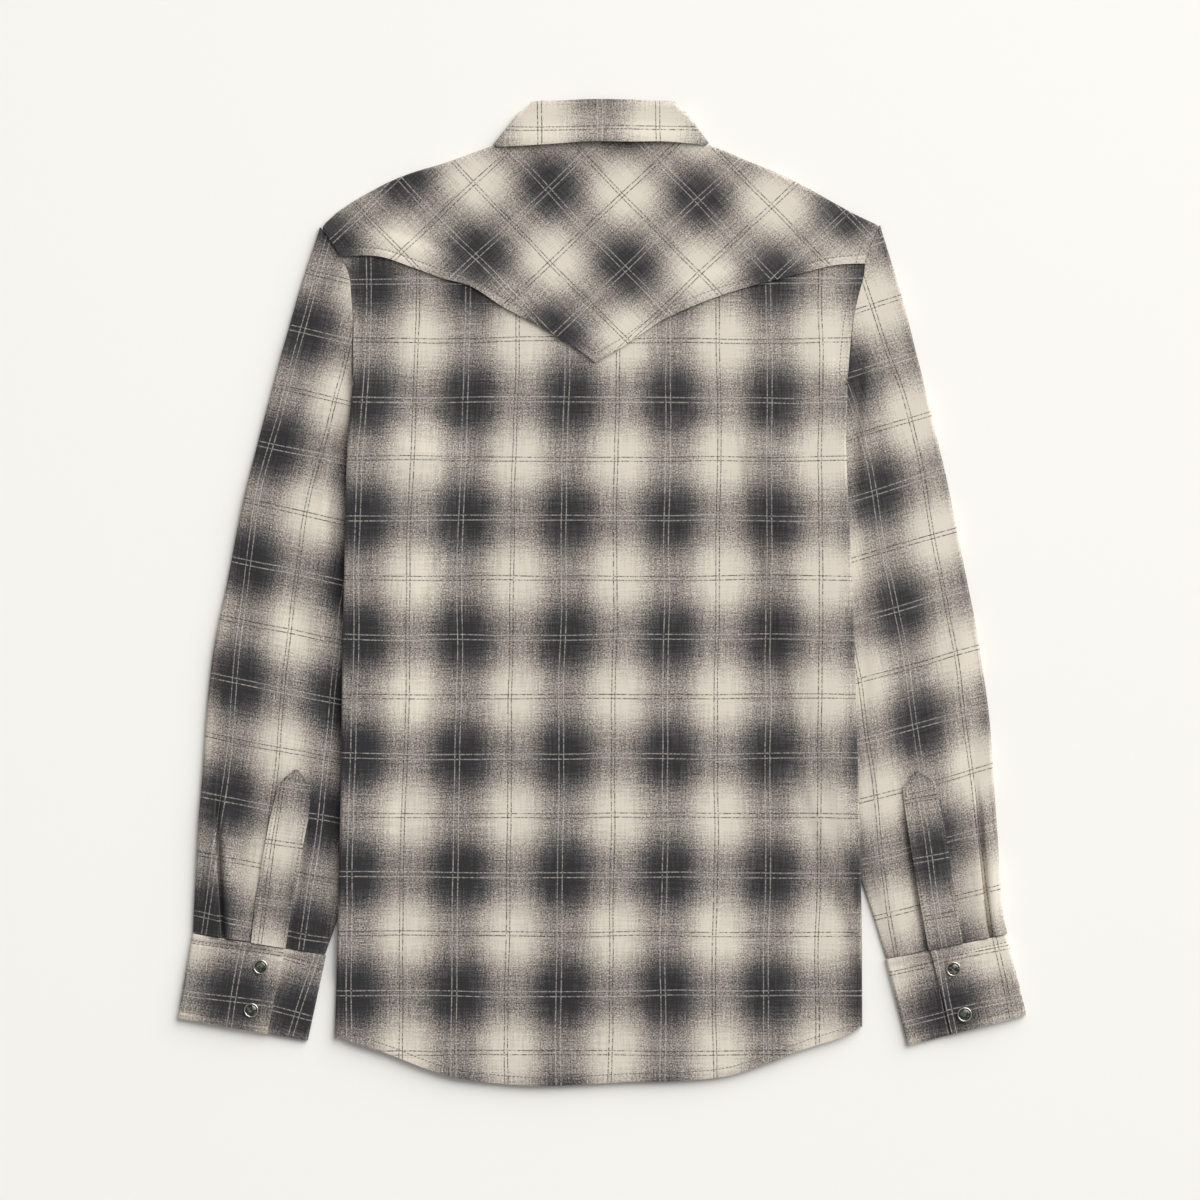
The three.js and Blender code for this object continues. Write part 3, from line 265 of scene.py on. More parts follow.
def smooth(keys, values, place):
    """A smooth curve through a table's values, at one place or many among its keys."""
    keys = np.asarray(keys, float)
    values = np.asarray(values, float)
    if keys[-1] < keys[0]:
        keys = keys[::-1]
        values = values[::-1]
    slopes = np.gradient(values, keys)
    slopes[1:-1] = (values[2:] - values[:-2]) / (keys[2:] - keys[:-2])
    row = np.clip(np.searchsorted(keys, place, side="right") - 1, 0, len(keys) - 2)
    span = keys[row + 1] - keys[row]
    t = np.clip((place - keys[row]) / span, 0, 1)
    start = values[row] * (2 * t**3 - 3 * t**2 + 1) + slopes[row] * span * (t**3 - 2 * t**2 + t)
    return start + values[row + 1] * (3 * t**2 - 2 * t**3) + slopes[row + 1] * span * (t**3 - t**2)


def distance_to(run, x, y):
    """Distance from places to a run of points."""
    nearest = np.full(np.shape(x), np.inf)
    for (ax, ay), (bx, by) in zip(run, run[1:]):
        dx = bx - ax
        dy = by - ay
        t = np.clip(((x - ax) * dx + (y - ay) * dy) / (dx * dx + dy * dy), 0, 1)
        nearest = np.minimum(nearest, np.hypot(x - ax - dx * t, y - ay - dy * t))
    return nearest


def side_name(side):
    return "left" if side < 0 else "right"


def hidden_run(side):
    """A sleeve's edges that lie under the body: the low armhole and the inner edge."""
    sleeve = SLEEVES[side_name(side)]
    low_armhole = sleeve["armhole"][sleeve["armhole"][:, 1] <= FOLD_TOP]
    return np.vstack([low_armhole, sleeve["sections"][1:, 2:]])


def depth_in_sleeve(side, x, y):
    """How far places lie inside a sleeve's hidden edges, below zero outside them."""
    run = hidden_run(side)
    edge = np.interp(y, run[::-1, 1], run[::-1, 0])
    within = (side * (x - edge) > 0) & (y <= FOLD_TOP) & (y >= run[-1, 1])
    return np.where(within, 1, -1) * distance_to(run, x, y)


def sleeve_top(depth):
    """Height of a sleeve's upper side as it thins towards its hidden edge."""
    return mix(SLEEVE_EDGE_HEIGHT, SLEEVE_HEIGHT, ease(depth / SLEEVE_TAPER))


def fold_height(folds, x, y):
    """Sum of soft ridges, and troughs where the height is below zero."""
    total = np.zeros(np.shape(x))
    for fold_x, fold_y, lean, length, width, height in folds:
        away = (x - fold_x - lean * (y - fold_y)) / width
        down = (y - fold_y) / length
        total = total + height * np.exp(-away * away - down * down)
    return total


def pleat_height(sleeve, x, y):
    """The pleat above the cuff: a raised fold with a sharp edge, then right of it a valley
    and the puff of cloth beyond."""
    pleat = sleeve["pleat"]
    grown = ease((pleat[0, 1] - y) / sleeve["pleat_length"] * 2)
    past = x - smooth(pleat[:, 1], pleat[:, 0], y)
    ridge = sleeve["pleat_height"] * np.exp(-(np.minimum(past, 0) / PLEAT_RIDGE_WIDTH) ** 2)
    groove = 1 - ease((past - PLEAT_GROOVE) / PLEAT_GROOVE_SLOPE)
    puff = PUFF_SHARE * sleeve["pleat_height"] * np.exp(-((past - PUFF_PLACE) / PUFF_WIDTH) ** 2)
    valley = sleeve["pleat_depth"] * groove - puff * (1 - groove)
    return grown * np.where(past < PLEAT_STEPS[0] / 2, ridge, -valley)


def pleat_shares(side, place, width):
    """Shares across a sleeve's top for its columns, set close along the pleat's fold."""
    pleat = SLEEVES[side_name(side)]["pleat"]
    tried = np.linspace(0, 1, 60)
    x, y = place(tried)
    past = x - smooth(pleat[:, 1], pleat[:, 0], y)
    fold = float(np.clip(np.interp(0, -side * past, tried), 0.12, 0.5))
    steps = PLEAT_STEPS / width
    rest = SLEEVE_TOP_COLUMNS - PLEAT_OUTER_COLUMNS - len(steps) + 1
    if side < 0:
        outer = np.linspace(0, fold, PLEAT_OUTER_COLUMNS)
        return np.concatenate([outer, fold + steps[:-1], np.linspace(fold + steps[-1], 1, rest)])
    outer = np.linspace(0, fold - steps[-1], PLEAT_OUTER_COLUMNS)
    return np.concatenate([outer, fold - steps[-2::-1], np.linspace(fold, 1, rest)])


def body_side(side, y):
    return smooth(BODY_SIDES[:, 0], BODY_SIDES[:, 1 if side < 0 else 2], y)


def hollow_depth(sleeve, x, y):
    """Depth of the hollow beside the body's edge, and of the slit beside the placket."""
    beside = sleeve["beside_body"]
    from_body = sleeve["side"] * (x - body_side(sleeve["side"], y))
    across = ease(1.6 - np.abs(from_body - 2) / sleeve["beside_width"])
    hollow = np.interp(y, beside[:, 0], beside[:, 1]) * across
    slit = 1.9 * np.exp(-(distance_to(sleeve["slit"], x, y) / 3.4) ** 2)
    return np.maximum(hollow, slit)


def sleeve_surface(side, x, y, hollowed=True):
    """Middle surface of a sleeve's upper side, with or without its hollows."""
    sleeve = SLEEVES[side_name(side)]
    run = hidden_run(side)
    near = distance_to(run, x, y)
    near = np.where((depth_in_sleeve(side, x, y) > 0) | (y > FOLD_TOP), near, 0)
    seen = ease(near / 45 - 0.4)
    creases = fold_height(sleeve["folds"], x, y) * seen
    head = ease(distance_to(sleeve["armhole"], x, y) / 16)
    surface = sleeve_top(near) - CLOTH / 2 + creases * head + pleat_height(sleeve, x, y)
    surface = np.maximum(surface, CLOTH * 1.5 + SEAM_GAP)
    if not hollowed:
        return surface
    hollow = hollow_depth(sleeve, x, y) * head * ease(near / 14)
    return np.maximum(surface - hollow, np.minimum(surface, CLOTH * 1.5 + SEAM_GAP))


def sleeve_grain(side, x, y):
    """Place in a sleeve's cloth, across and along from a crossing of two white pairs."""
    sleeve = SLEEVES[side_name(side)]
    warp = sleeve["warp"]
    weft = sleeve["weft"]
    length = np.concatenate([[0], np.cumsum(np.hypot(*np.diff(warp, axis=0).T))])
    # Follows the pair across from each place to where it meets the pair that runs down
    met_y = y
    for _ in range(3):
        slope = np.interp(met_y, weft[:, 0], weft[:, 1])
        from_warp = x - smooth(warp[:, 1], warp[:, 0], met_y)
        met_y = y - side * slope * from_warp
    along = smooth(warp[:, 1], length, sleeve["crossing"]) - smooth(warp[:, 1], length, met_y)
    return np.stack([from_warp * WARP_SPREAD, along], axis=-1)


def half_turn(high, low_z, out, steps):
    """Points of a half turn from a row of high points down to a lower layer, ends left out."""
    angles = np.arange(1, steps) / steps * math.pi
    radius = (high[..., 2] - low_z) / 2
    points = []
    for angle in angles:
        reach = radius * math.sin(angle)
        z = low_z + radius + radius * math.cos(angle)
        points.append(np.stack([high[..., 0] + out[0] * reach, high[..., 1] + out[1] * reach, z],
                               axis=-1))
    return points


def walked(points, start):
    """Distance walked along a row of points from its `start`, below zero before it."""
    steps = np.linalg.norm(np.diff(points, axis=0), axis=1)
    total = np.concatenate([[0], np.cumsum(steps)])
    return total - total[start]


def cloth_mesh(name, points, places, thickness=CLOTH, joined=False):
    """A closed thin shell about a grid of middle points in mm, nan where there is no cloth.
    places holds each point's place in the woven cloth, kept as the mesh's UV map in metres."""
    count_i, count_j, _ = points.shape
    present = ~np.isnan(points[..., 0])
    index = np.full((count_i, count_j), -1)
    index[present] = np.arange(present.sum())
    middle = points[present]
    last = count_j if joined else count_j - 1
    i, j = np.meshgrid(np.arange(count_i - 1), np.arange(last), indexing="ij")
    i = i.ravel()
    j = j.ravel()
    following = (j + 1) % count_j
    cells = np.stack([index[i, j], index[i, following], index[i + 1, following],
                      index[i + 1, j]], axis=1)
    width = places.shape[1]
    flat_places = places.reshape(-1, 2)
    spots = np.stack([i * width + j, i * width + j + (1 if joined else following - j),
                      (i + 1) * width + j + (1 if joined else following - j),
                      (i + 1) * width + j], axis=1)
    whole = (cells >= 0).all(axis=1)
    cells = cells[whole]
    spots = spots[whole]
    normals = np.zeros_like(middle)
    face = np.cross(middle[cells[:, 2]] - middle[cells[:, 0]],
                    middle[cells[:, 3]] - middle[cells[:, 1]])
    face /= np.maximum(np.linalg.norm(face, axis=1, keepdims=True), 1e-9)
    for corner in range(4):
        np.add.at(normals, cells[:, corner], face)
    normals /= np.maximum(np.linalg.norm(normals, axis=1, keepdims=True), 1e-9)
    count = len(middle)
    vertices = np.vstack([middle + normals * thickness / 2, middle - normals * thickness / 2])
    edges = {}
    for corner in range(4):
        after = (corner + 1) % 4
        pairs = zip(cells[:, corner].tolist(), cells[:, after].tolist(),
                    spots[:, corner].tolist(), spots[:, after].tolist())
        for start, end, start_spot, end_spot in pairs:
            edges[start, end] = (start_spot, end_spot)
    rim = [(a, b, *edges[a, b]) for a, b in edges if (b, a) not in edges]
    rim = np.array(rim, int).reshape(-1, 4)
    sides = np.stack([rim[:, 0], rim[:, 0] + count, rim[:, 1] + count, rim[:, 1]], axis=1)
    side_spots = np.stack([rim[:, 2], rim[:, 2], rim[:, 3], rim[:, 3]], axis=1)
    faces = np.vstack([cells, cells[:, ::-1] + count, sides])
    face_spots = np.vstack([spots, spots[:, ::-1], side_spots])
    mesh = bpy.data.meshes.new(name)
    mesh.from_pydata((vertices * MM).tolist(), [], faces.tolist())
    grain = mesh.uv_layers.new(name="cloth")
    grain.data.foreach_set("uv", (flat_places[face_spots.ravel()] * MM).ravel())
    mesh.polygons.foreach_set("use_smooth", np.ones(len(mesh.polygons), bool))
    mesh.set_sharp_from_angle(angle=math.radians(50))
    made = bpy.data.objects.new(name, mesh)
    bpy.context.scene.collection.objects.link(made)
    return made


def from_middle(tree, place, repeat, shift):
    """How far a place lies from the nearest middle of a repeat, as a share of the repeat."""
    turns = add_node(tree, "ShaderNodeMath", {
        0: place, 1: 1 / (repeat * MM), 2: 0.5 - shift / repeat,
    }, operation="MULTIPLY_ADD")
    share = add_node(tree, "ShaderNodeMath", {0: turns.outputs[0]}, operation="FRACT")
    centred = add_node(tree, "ShaderNodeMath", {0: share.outputs[0], 1: 0.5}, operation="SUBTRACT")
    return add_node(tree, "ShaderNodeMath", {0: centred.outputs[0]}, operation="ABSOLUTE")


def stripes(tree, place, repeat, white_gap, dark_gap, band_shift, broken):
    """One direction of the check: how dark its ombre band is, and its thin white and dark
    lines, each a pair. place is the distance across the stripes in metres."""
    band = add_node(tree, "ShaderNodeMapRange", {
        "Value": from_middle(tree, place, repeat, band_shift).outputs[0],
        "From Min": 0.06, "From Max": 0.44, "To Min": 1.0, "To Max": 0.0,
    }, interpolation_type="SMOOTHSTEP")
    away = from_middle(tree, place, repeat, 0)
    lines = []
    for centre, gap in ((0.0, white_gap), (0.5, dark_gap)):
        from_centre = add_node(tree, "ShaderNodeMath", {0: away.outputs[0], 1: centre},
                               operation="SUBTRACT")
        across = add_node(tree, "ShaderNodeMath", {0: from_centre.outputs[0]},
                          operation="ABSOLUTE")
        from_line = add_node(tree, "ShaderNodeMath", {0: across.outputs[0], 1: gap / 2 / repeat},
                             operation="SUBTRACT")
        near = add_node(tree, "ShaderNodeMath", {0: from_line.outputs[0]}, operation="ABSOLUTE")
        line = add_node(tree, "ShaderNodeMapRange", {
            "Value": near.outputs[0], "From Min": 0.16 / repeat, "From Max": 0.66 / repeat,
            "To Min": 1.0, "To Max": 0.0,
        }, interpolation_type="SMOOTHSTEP")
        shown = add_node(tree, "ShaderNodeMath", {0: line.outputs[0], 1: broken},
                         operation="MULTIPLY")
        lines.append(shown.outputs[0])
    return band.outputs[0], lines[0], lines[1]


def brushed_flannel():
    """Brushed cotton flannel, woven in charcoal and cream yarns whose mix changes by steps
    across each band. Where dark crosses light the two yarns make a salt and pepper speckle,
    drawn here about 1 mm across because the real 0.3 mm yarns are too fine to show."""
    material, tree = new_material("brushed_flannel")
    grain = add_node(tree, "ShaderNodeUVMap", uv_map="cloth")
    drift = add_node(tree, "ShaderNodeTexNoise", {
        "Vector": grain.outputs[0], "Scale": 10.0, "Detail": 1.0,
    })
    drift_middle = add_node(tree, "ShaderNodeVectorMath", {
        0: drift.outputs["Color"], 1: (0.5, 0.5, 0.5),
    }, operation="SUBTRACT")
    drift_size = add_node(tree, "ShaderNodeVectorMath", {
        0: drift_middle.outputs[0], "Scale": 5 * MM,
    }, operation="SCALE")
    place = add_node(tree, "ShaderNodeVectorMath", {
        0: grain.outputs[0], 1: drift_size.outputs[0],
    }, operation="ADD")
    axes = add_node(tree, "ShaderNodeSeparateXYZ", {0: place.outputs[0]})
    # Each floating yarn shows for about 1.5 mm, so the fine lines look broken like stitches
    floats = add_node(tree, "ShaderNodeTexNoise", {
        "Vector": grain.outputs[0], "Scale": 620.0, "Detail": 1.0,
    })
    broken = add_node(tree, "ShaderNodeMapRange", {
        "Value": floats.outputs[0], "From Min": 0.36, "From Max": 0.60,
        "To Min": 0.08, "To Max": 0.64,
    })
    warp_dark, warp_white_line, warp_dark_line = stripes(
        tree, axes.outputs[0], CHECK_WIDTH, 4.0, 2.8, 3.2, broken.outputs[0])
    weft_dark, weft_white_line, weft_dark_line = stripes(
        tree, axes.outputs[1], CHECK_LENGTH, 4.1, 3.4, 0.5, broken.outputs[0])
    both = add_node(tree, "ShaderNodeMath", {0: warp_dark, 1: weft_dark}, operation="ADD")
    mean = add_node(tree, "ShaderNodeMath", {0: both.outputs[0], 1: 0.5}, operation="MULTIPLY")
    # The speckle is strongest where the mix is even, and fades in plain cream and charcoal
    rest = add_node(tree, "ShaderNodeMath", {0: 1.0, 1: mean.outputs[0]}, operation="SUBTRACT")
    evenness = add_node(tree, "ShaderNodeMath", {0: mean.outputs[0], 1: rest.outputs[0]},
                        operation="MULTIPLY")
    strength = add_node(tree, "ShaderNodeMapRange", {
        "Value": evenness.outputs[0], "From Min": 0.0, "From Max": 0.25,
        "To Min": 0.25, "To Max": 1.5,
    })
    speckle = add_node(tree, "ShaderNodeTexNoise", {
        "Vector": grain.outputs[0], "Scale": 780.0, "Detail": 2.0, "Roughness": 0.6,
    })
    # Stretched noise for single yarns a little darker or lighter than their neighbours
    warp_yarns = add_node(tree, "ShaderNodeMapping", {
        "Vector": grain.outputs[0], "Scale": (700.0, 40.0, 1.0),
    })
    weft_yarns = add_node(tree, "ShaderNodeMapping", {
        "Vector": grain.outputs[0], "Scale": (40.0, 700.0, 1.0),
    })
    warp_streak = add_node(tree, "ShaderNodeTexNoise", {
        "Vector": warp_yarns.outputs[0], "Scale": 1.0, "Detail": 1.0,
    })
    weft_streak = add_node(tree, "ShaderNodeTexNoise", {
        "Vector": weft_yarns.outputs[0], "Scale": 1.0, "Detail": 1.0,
    })
    streaks = add_node(tree, "ShaderNodeMath", {
        0: warp_streak.outputs[0], 1: weft_streak.outputs[0],
    }, operation="ADD")
    streak_part = add_node(tree, "ShaderNodeMath", {
        0: streaks.outputs[0], 1: 0.34, 2: -0.34,
    }, operation="MULTIPLY_ADD")
    speckle_middle = add_node(tree, "ShaderNodeMath", {0: speckle.outputs[0], 1: 0.5},
                              operation="SUBTRACT")
    speckle_part = add_node(tree, "ShaderNodeMath", {
        0: speckle_middle.outputs[0], 1: strength.outputs[0], 2: streak_part.outputs[0],
    }, operation="MULTIPLY_ADD")
    # Painted light and shade: the cloth's colour is made paler towards the right shoulder and
    # darker towards the lower left, standing in for light that falls from the upper right
    lying = add_node(tree, "ShaderNodeTexCoord")
    towards_light = add_node(tree, "ShaderNodeVectorMath", {
        0: lying.outputs["Object"], 1: (0.25, 0.16, 0.0),
    }, operation="DOT_PRODUCT")
    painted_light = add_node(tree, "ShaderNodeMapRange", {
        "Value": towards_light.outputs["Value"], "From Min": -0.06, "From Max": 0.14,
        "To Min": 0.03, "To Max": -0.12,
    })
    woven = add_node(tree, "ShaderNodeMath", {
        0: mean.outputs[0], 1: speckle_part.outputs[0],
    }, operation="ADD")
    # The yarns' darkness, with the painted light and shade added, picks the cloth's colour
    darkness = add_node(tree, "ShaderNodeMath", {
        0: woven.outputs[0], 1: painted_light.outputs[0],
    }, operation="ADD", use_clamp=True)
    yarn_and_painted_light = add_node(tree, "ShaderNodeValToRGB", {"Fac": darkness.outputs[0]})
    stops = [(0.0, "#dbd2c3"), (0.19, "#c4bbae"), (0.48, "#8f8780"), (0.78, "#4e4b4b"),
             (1.0, "#2d2c2e")]
    ramp = yarn_and_painted_light.color_ramp
    while len(ramp.elements) < len(stops):
        ramp.elements.new(0.5)
    for element, (position, colour) in zip(ramp.elements, stops):
        element.position = position
        element.color = linear(colour)
    colour = yarn_and_painted_light.outputs[0]
    for lines, line_colour, cover in (
        ((warp_dark_line, weft_dark_line), "#3d3834", 1.6),
        ((warp_white_line, weft_white_line), "#dad3c9", 0.76),
    ):
        either = add_node(tree, "ShaderNodeMath", {0: lines[0], 1: lines[1]},
                          operation="MAXIMUM")
        line = add_node(tree, "ShaderNodeMath", {0: either.outputs[0], 1: cover},
                        operation="MULTIPLY")
        colour = add_node(tree, "ShaderNodeMix", {
            "Factor": line.outputs[0], 6: colour, 7: linear(line_colour),
        }, data_type="RGBA").outputs[2]
    # Nap: a short soft pile, raised in tufts by the brushing
    nap = add_node(tree, "ShaderNodeTexNoise", {
        "Vector": grain.outputs[0], "Scale": 520.0, "Detail": 3.0, "Roughness": 0.65,
    })
    bump = add_node(tree, "ShaderNodeBump", {
        "Strength": 0.35, "Distance": 0.35 * MM, "Height": nap.outputs[0],
    })
    finish_material(tree, add_node(tree, "ShaderNodeBsdfPrincipled", {
        "Base Color": colour, "Roughness": 0.96, "Specular IOR Level": 0.15,
        "Sheen Weight": 0.12, "Sheen Roughness": 0.6, "Normal": bump.outputs[0],
    }))
    return material


FLANNEL = brushed_flannel()
SEAM_LINES = []


def sew_on(piece, node):
    """Gives a cloth piece its flannel, hangs it from the root, and hides the solid it stands for.
    """
    piece.data.materials.append(FLANNEL)
    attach(piece, "root")
    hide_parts(node)


def sleeve_mesh(name):
    sleeve = SLEEVES[name]
    side = sleeve["side"]
    sections = sleeve["sections"]
    armhole = sleeve["armhole"]
    at_section = np.linspace(0, 1, len(sections))
    at_armhole = np.linspace(0, 1, len(armhole))
    under_shares = np.linspace(1, 0, SLEEVE_UNDER_COLUMNS)
    rows = []
    places = []
    for i in range(SLEEVE_ROWS + 1):
        down = i / SLEEVE_ROWS
        outer_x, outer_y, inner_x, inner_y = (
            float(smooth(at_section, sections[:, column], down)) for column in range(4))
        width = math.hypot(outer_x - inner_x, outer_y - inner_y)
        fade = max(1 - (down / HEAD_LENGTH) ** 2, 0) ** 2
        seam = side * ARMHOLE_GAP / 2 if i == 0 else 0

        def place(share):
            bulge_x = smooth(at_armhole, armhole[:, 0], share) \
                - mix(sections[0, 0], sections[0, 2], share)
            bulge_y = smooth(at_armhole, armhole[:, 1], share) \
                - mix(sections[0, 1], sections[0, 3], share)
            return (mix(outer_x, inner_x, share) + bulge_x * fade + seam,
                    mix(outer_y, inner_y, share) + bulge_y * fade)

        first = (SLEEVE_HEIGHT / 2) / width
        last = 1 - (SLEEVE_EDGE_HEIGHT / 2) / width

        def top_place(share):
            return place(mix(first, last, share))

        top_x, top_y = top_place(pleat_shares(side, top_place, width))
        top = np.stack([top_x, top_y, sleeve_surface(side, top_x, top_y)], axis=-1)
        under_x, under_y = place(mix(first, last, under_shares))
        under = np.stack([under_x, under_y, np.full_like(under_x, CLOTH / 2)], axis=-1)

        def outward(end, before):
            away = (end - before)[:2]
            return away / np.linalg.norm(away)

        inner_turn = half_turn(top[-1], CLOTH / 2, outward(top[-1], top[-2]), 5)
        outer_turn = half_turn(top[0], CLOTH / 2, outward(top[0], top[1]), 8)[::-1]
        row = np.vstack([top, inner_turn, under, outer_turn])
        # Round the outer edge the cloth goes on to the seam under the inner edge
        unrolled = row[:, 0].copy()
        outward_walk = walked(np.vstack([row[:1], row[:0:-1]]), 0)[1:]
        below = len(top) + len(inner_turn)
        unrolled[below:] = row[0, 0] + side * outward_walk[::-1][below - 1:]
        unrolled[len(top):below] = top[-1, 0] - side * walked(row[len(top) - 1:below], 0)[1:]
        grain = sleeve_grain(side, unrolled, row[:, 1])
        rows.append(row)
        places.append(np.vstack([grain, grain[:1]]))
    return cloth_mesh(f"sleeve_{name}_cloth", np.array(rows), np.array(places), joined=True)


for name in SLEEVES:
    sew_on(sleeve_mesh(name), f"sleeve_{name}")

# Sleeve plackets
# A pointed strip of the same flannel, cut along the grain, that covers the slit above each
# cuff. It is turned in all round and topstitched to the sleeve, with two rows across below
# its point, and its edge on the body's side lies free.
PLACKET_LIFT = 0.5
PLACKET_WIDTH = 28
PLACKET_RIM = 0.5
PLACKET_GROOVE = 0.45
PLACKET_GROOVE_INSET = 5
PLACKET_OPENING = 0.9
PLACKET_ROWS = 60
PLACKET_COLUMNS = 12
# Stitching, as shares: two long rows across the strip, and two short rows up it
PLACKET_LONG_ROWS = (0.07, 0.93)
PLACKET_SHORT_ROWS = (0.735, 0.79)

# Shares up a placket, from the cuff, at which its rows are given
PLACKET_SHARES = np.array([0, 0.22, 0.46, 0.66, 0.86, 1.0])
# rows: left x, left y, right x, right y. grain: the dark crossing's place in the check.
PLACKETS = {
    "left": {
        "side": -1,
        "rows": np.array([
            (-290.5, -290.1, -262.3, -294.6), (-287.2, -257.7, -256.5, -257.7),
            (-280.5, -217.0, -249.0, -217.0), (-275.6, -190.5, -243.2, -187.2),
            (-267.3, -157.3, -240.7, -160.6), (-254.4, -147.0, -252.0, -147.0),
        ]),
        "grain": (-222.4, -164.3),
        "lean": 8.5,
    },
    "right": {
        "side": 1,
        "rows": np.array([
            (270.6, -296.2, 298.8, -290.4), (262.4, -252.0, 292.0, -252.0),
            (254.8, -205.0, 285.5, -205.0), (250.7, -178.0, 278.9, -173.0),
            (249.0, -162.3, 275.6, -155.6), (259.0, -148.7, 261.4, -148.7),
        ]),
        "grain": (271.4, -219.5),
        "lean": -9.5,
    },
}


def turned_grain(x, y, middle, lean):
    """Place in a cloth whose grain is turned by `lean` degrees about a dark crossing."""
    angle = math.radians(lean)
    dx = x - middle[0]
    dy = y - middle[1]
    return np.stack([dx * math.cos(angle) - dy * math.sin(angle),
                     dx * math.sin(angle) + dy * math.cos(angle)], axis=-1)


def placket_rise(side, across, up):
    """How far a placket's middle surface stands above the sleeve's. It dips along its
    stitching, and its free edge stands up along the open slit."""
    edge = np.minimum(across, 1 - across) * PLACKET_WIDTH
    groove = PLACKET_GROOVE * np.exp(-((edge - PLACKET_GROOVE_INSET) / 1.5) ** 2)
    rim = PLACKET_RIM * ease(edge / 3) - groove
    free = (across if side > 0 else 1 - across) * PLACKET_WIDTH
    opened = ease(up / 0.15) * ease((0.70 - up) / 0.12)
    return LAYER + PLACKET_LIFT + rim + PLACKET_OPENING * ease(1 - free / 9) * opened


def placket_mesh(name):
    placket = PLACKETS[name]
    side = placket["side"]
    up = np.linspace(0, 1, PLACKET_ROWS + 1)
    left_x, left_y, right_x, right_y = (
        np.interp(up, PLACKET_SHARES, placket["rows"][:, k]) for k in range(4))
    across = np.linspace(0, 1, PLACKET_COLUMNS + 1)
    x = mix(left_x[:, None], right_x[:, None], across)
    y = mix(left_y[:, None], right_y[:, None], across)
    z = sleeve_surface(side, x, y, False) + placket_rise(side, across, up[:, None])
    grain = turned_grain(x, y, placket["grain"], placket["lean"])

    def stitch_row(row_x, row_y, row_across, row_up):
        row_z = sleeve_surface(side, row_x, row_y, False) + CLOTH / 2 \
            + placket_rise(side, row_across, row_up)
        SEAM_LINES.append(np.column_stack([row_x, row_y, row_z]))

    for inset in PLACKET_LONG_ROWS:
        stitch_row(mix(left_x, right_x, inset), mix(left_y, right_y, inset), inset, up)
    for height in PLACKET_SHORT_ROWS:
        ends = [np.interp(height, up, run) for run in (left_x, left_y, right_x, right_y)]
        along = np.linspace(*PLACKET_LONG_ROWS, 12)
        stitch_row(mix(ends[0], ends[2], along), mix(ends[1], ends[3], along), along, height)
    return cloth_mesh(f"placket_{name}_cloth", np.stack([x, y, z], axis=-1), grain)


for name in PLACKETS:
    sew_on(placket_mesh(name), f"placket_{name}")

# Cuffs
# Each cuff is a doubled band of flannel cut across the grain, stiffened by its turnings. The
# sleeve's end is caught between its layers. Topstitching runs all round, and its end lies
# over the other with two snaps.
CUFF_CLOTH = 1.8
CUFF_HOLLOW = 0.6
CUFF_LAP = 0.28
CUFF_ROWS = 34
CUFF_STEP = 2.0
CUFF_STITCH = 6.0
CUFF_OUTER_DROP = 0.8
CUFF_PUFF = 0.9
CUFF_PUFF_WIDTH = 3.4
CUFF_CORNER = 0.6
CUFF_CORNER_WIDTH = 2.5

# Corners as x, y. overlap_end: how far across from the outer side the upper end reaches.
# grain: x, y of the check's dark crossing and its lean, on the upper and the lower end.
CUFFS = {
    "left": {
        "side": -1,
        "top_outer": (-339.6, -282.8), "top_inner": (-228.9, -301.0),
        "low_outer": (-351.9, -352.3), "low_inner": (-244.0, -371.4),
        "overlap_end": 0.69,
        "grain": (-305.0, -337.0, 8.5), "under_grain": (-252.3, -349.9, 17.0),
    },
    "right": {
        "side": 1,
        "top_outer": (335.5, -283.6), "top_inner": (235.0, -304.4),
        "low_outer": (351.9, -349.9), "low_inner": (253.2, -375.6),
        "overlap_end": 0.63,
        "grain": (288.4, -347.4, -12.0), "under_grain": (286.0, -349.0, -12.0),
    },
}


def cuff_place(cuff, across, down):
    """x and y on a cuff, as shares across from its outer side and down from its top edge."""
    return [mix(mix(cuff["top_outer"][k], cuff["low_outer"][k], down),
                mix(cuff["top_inner"][k], cuff["low_inner"][k], down), across) for k in (0, 1)]


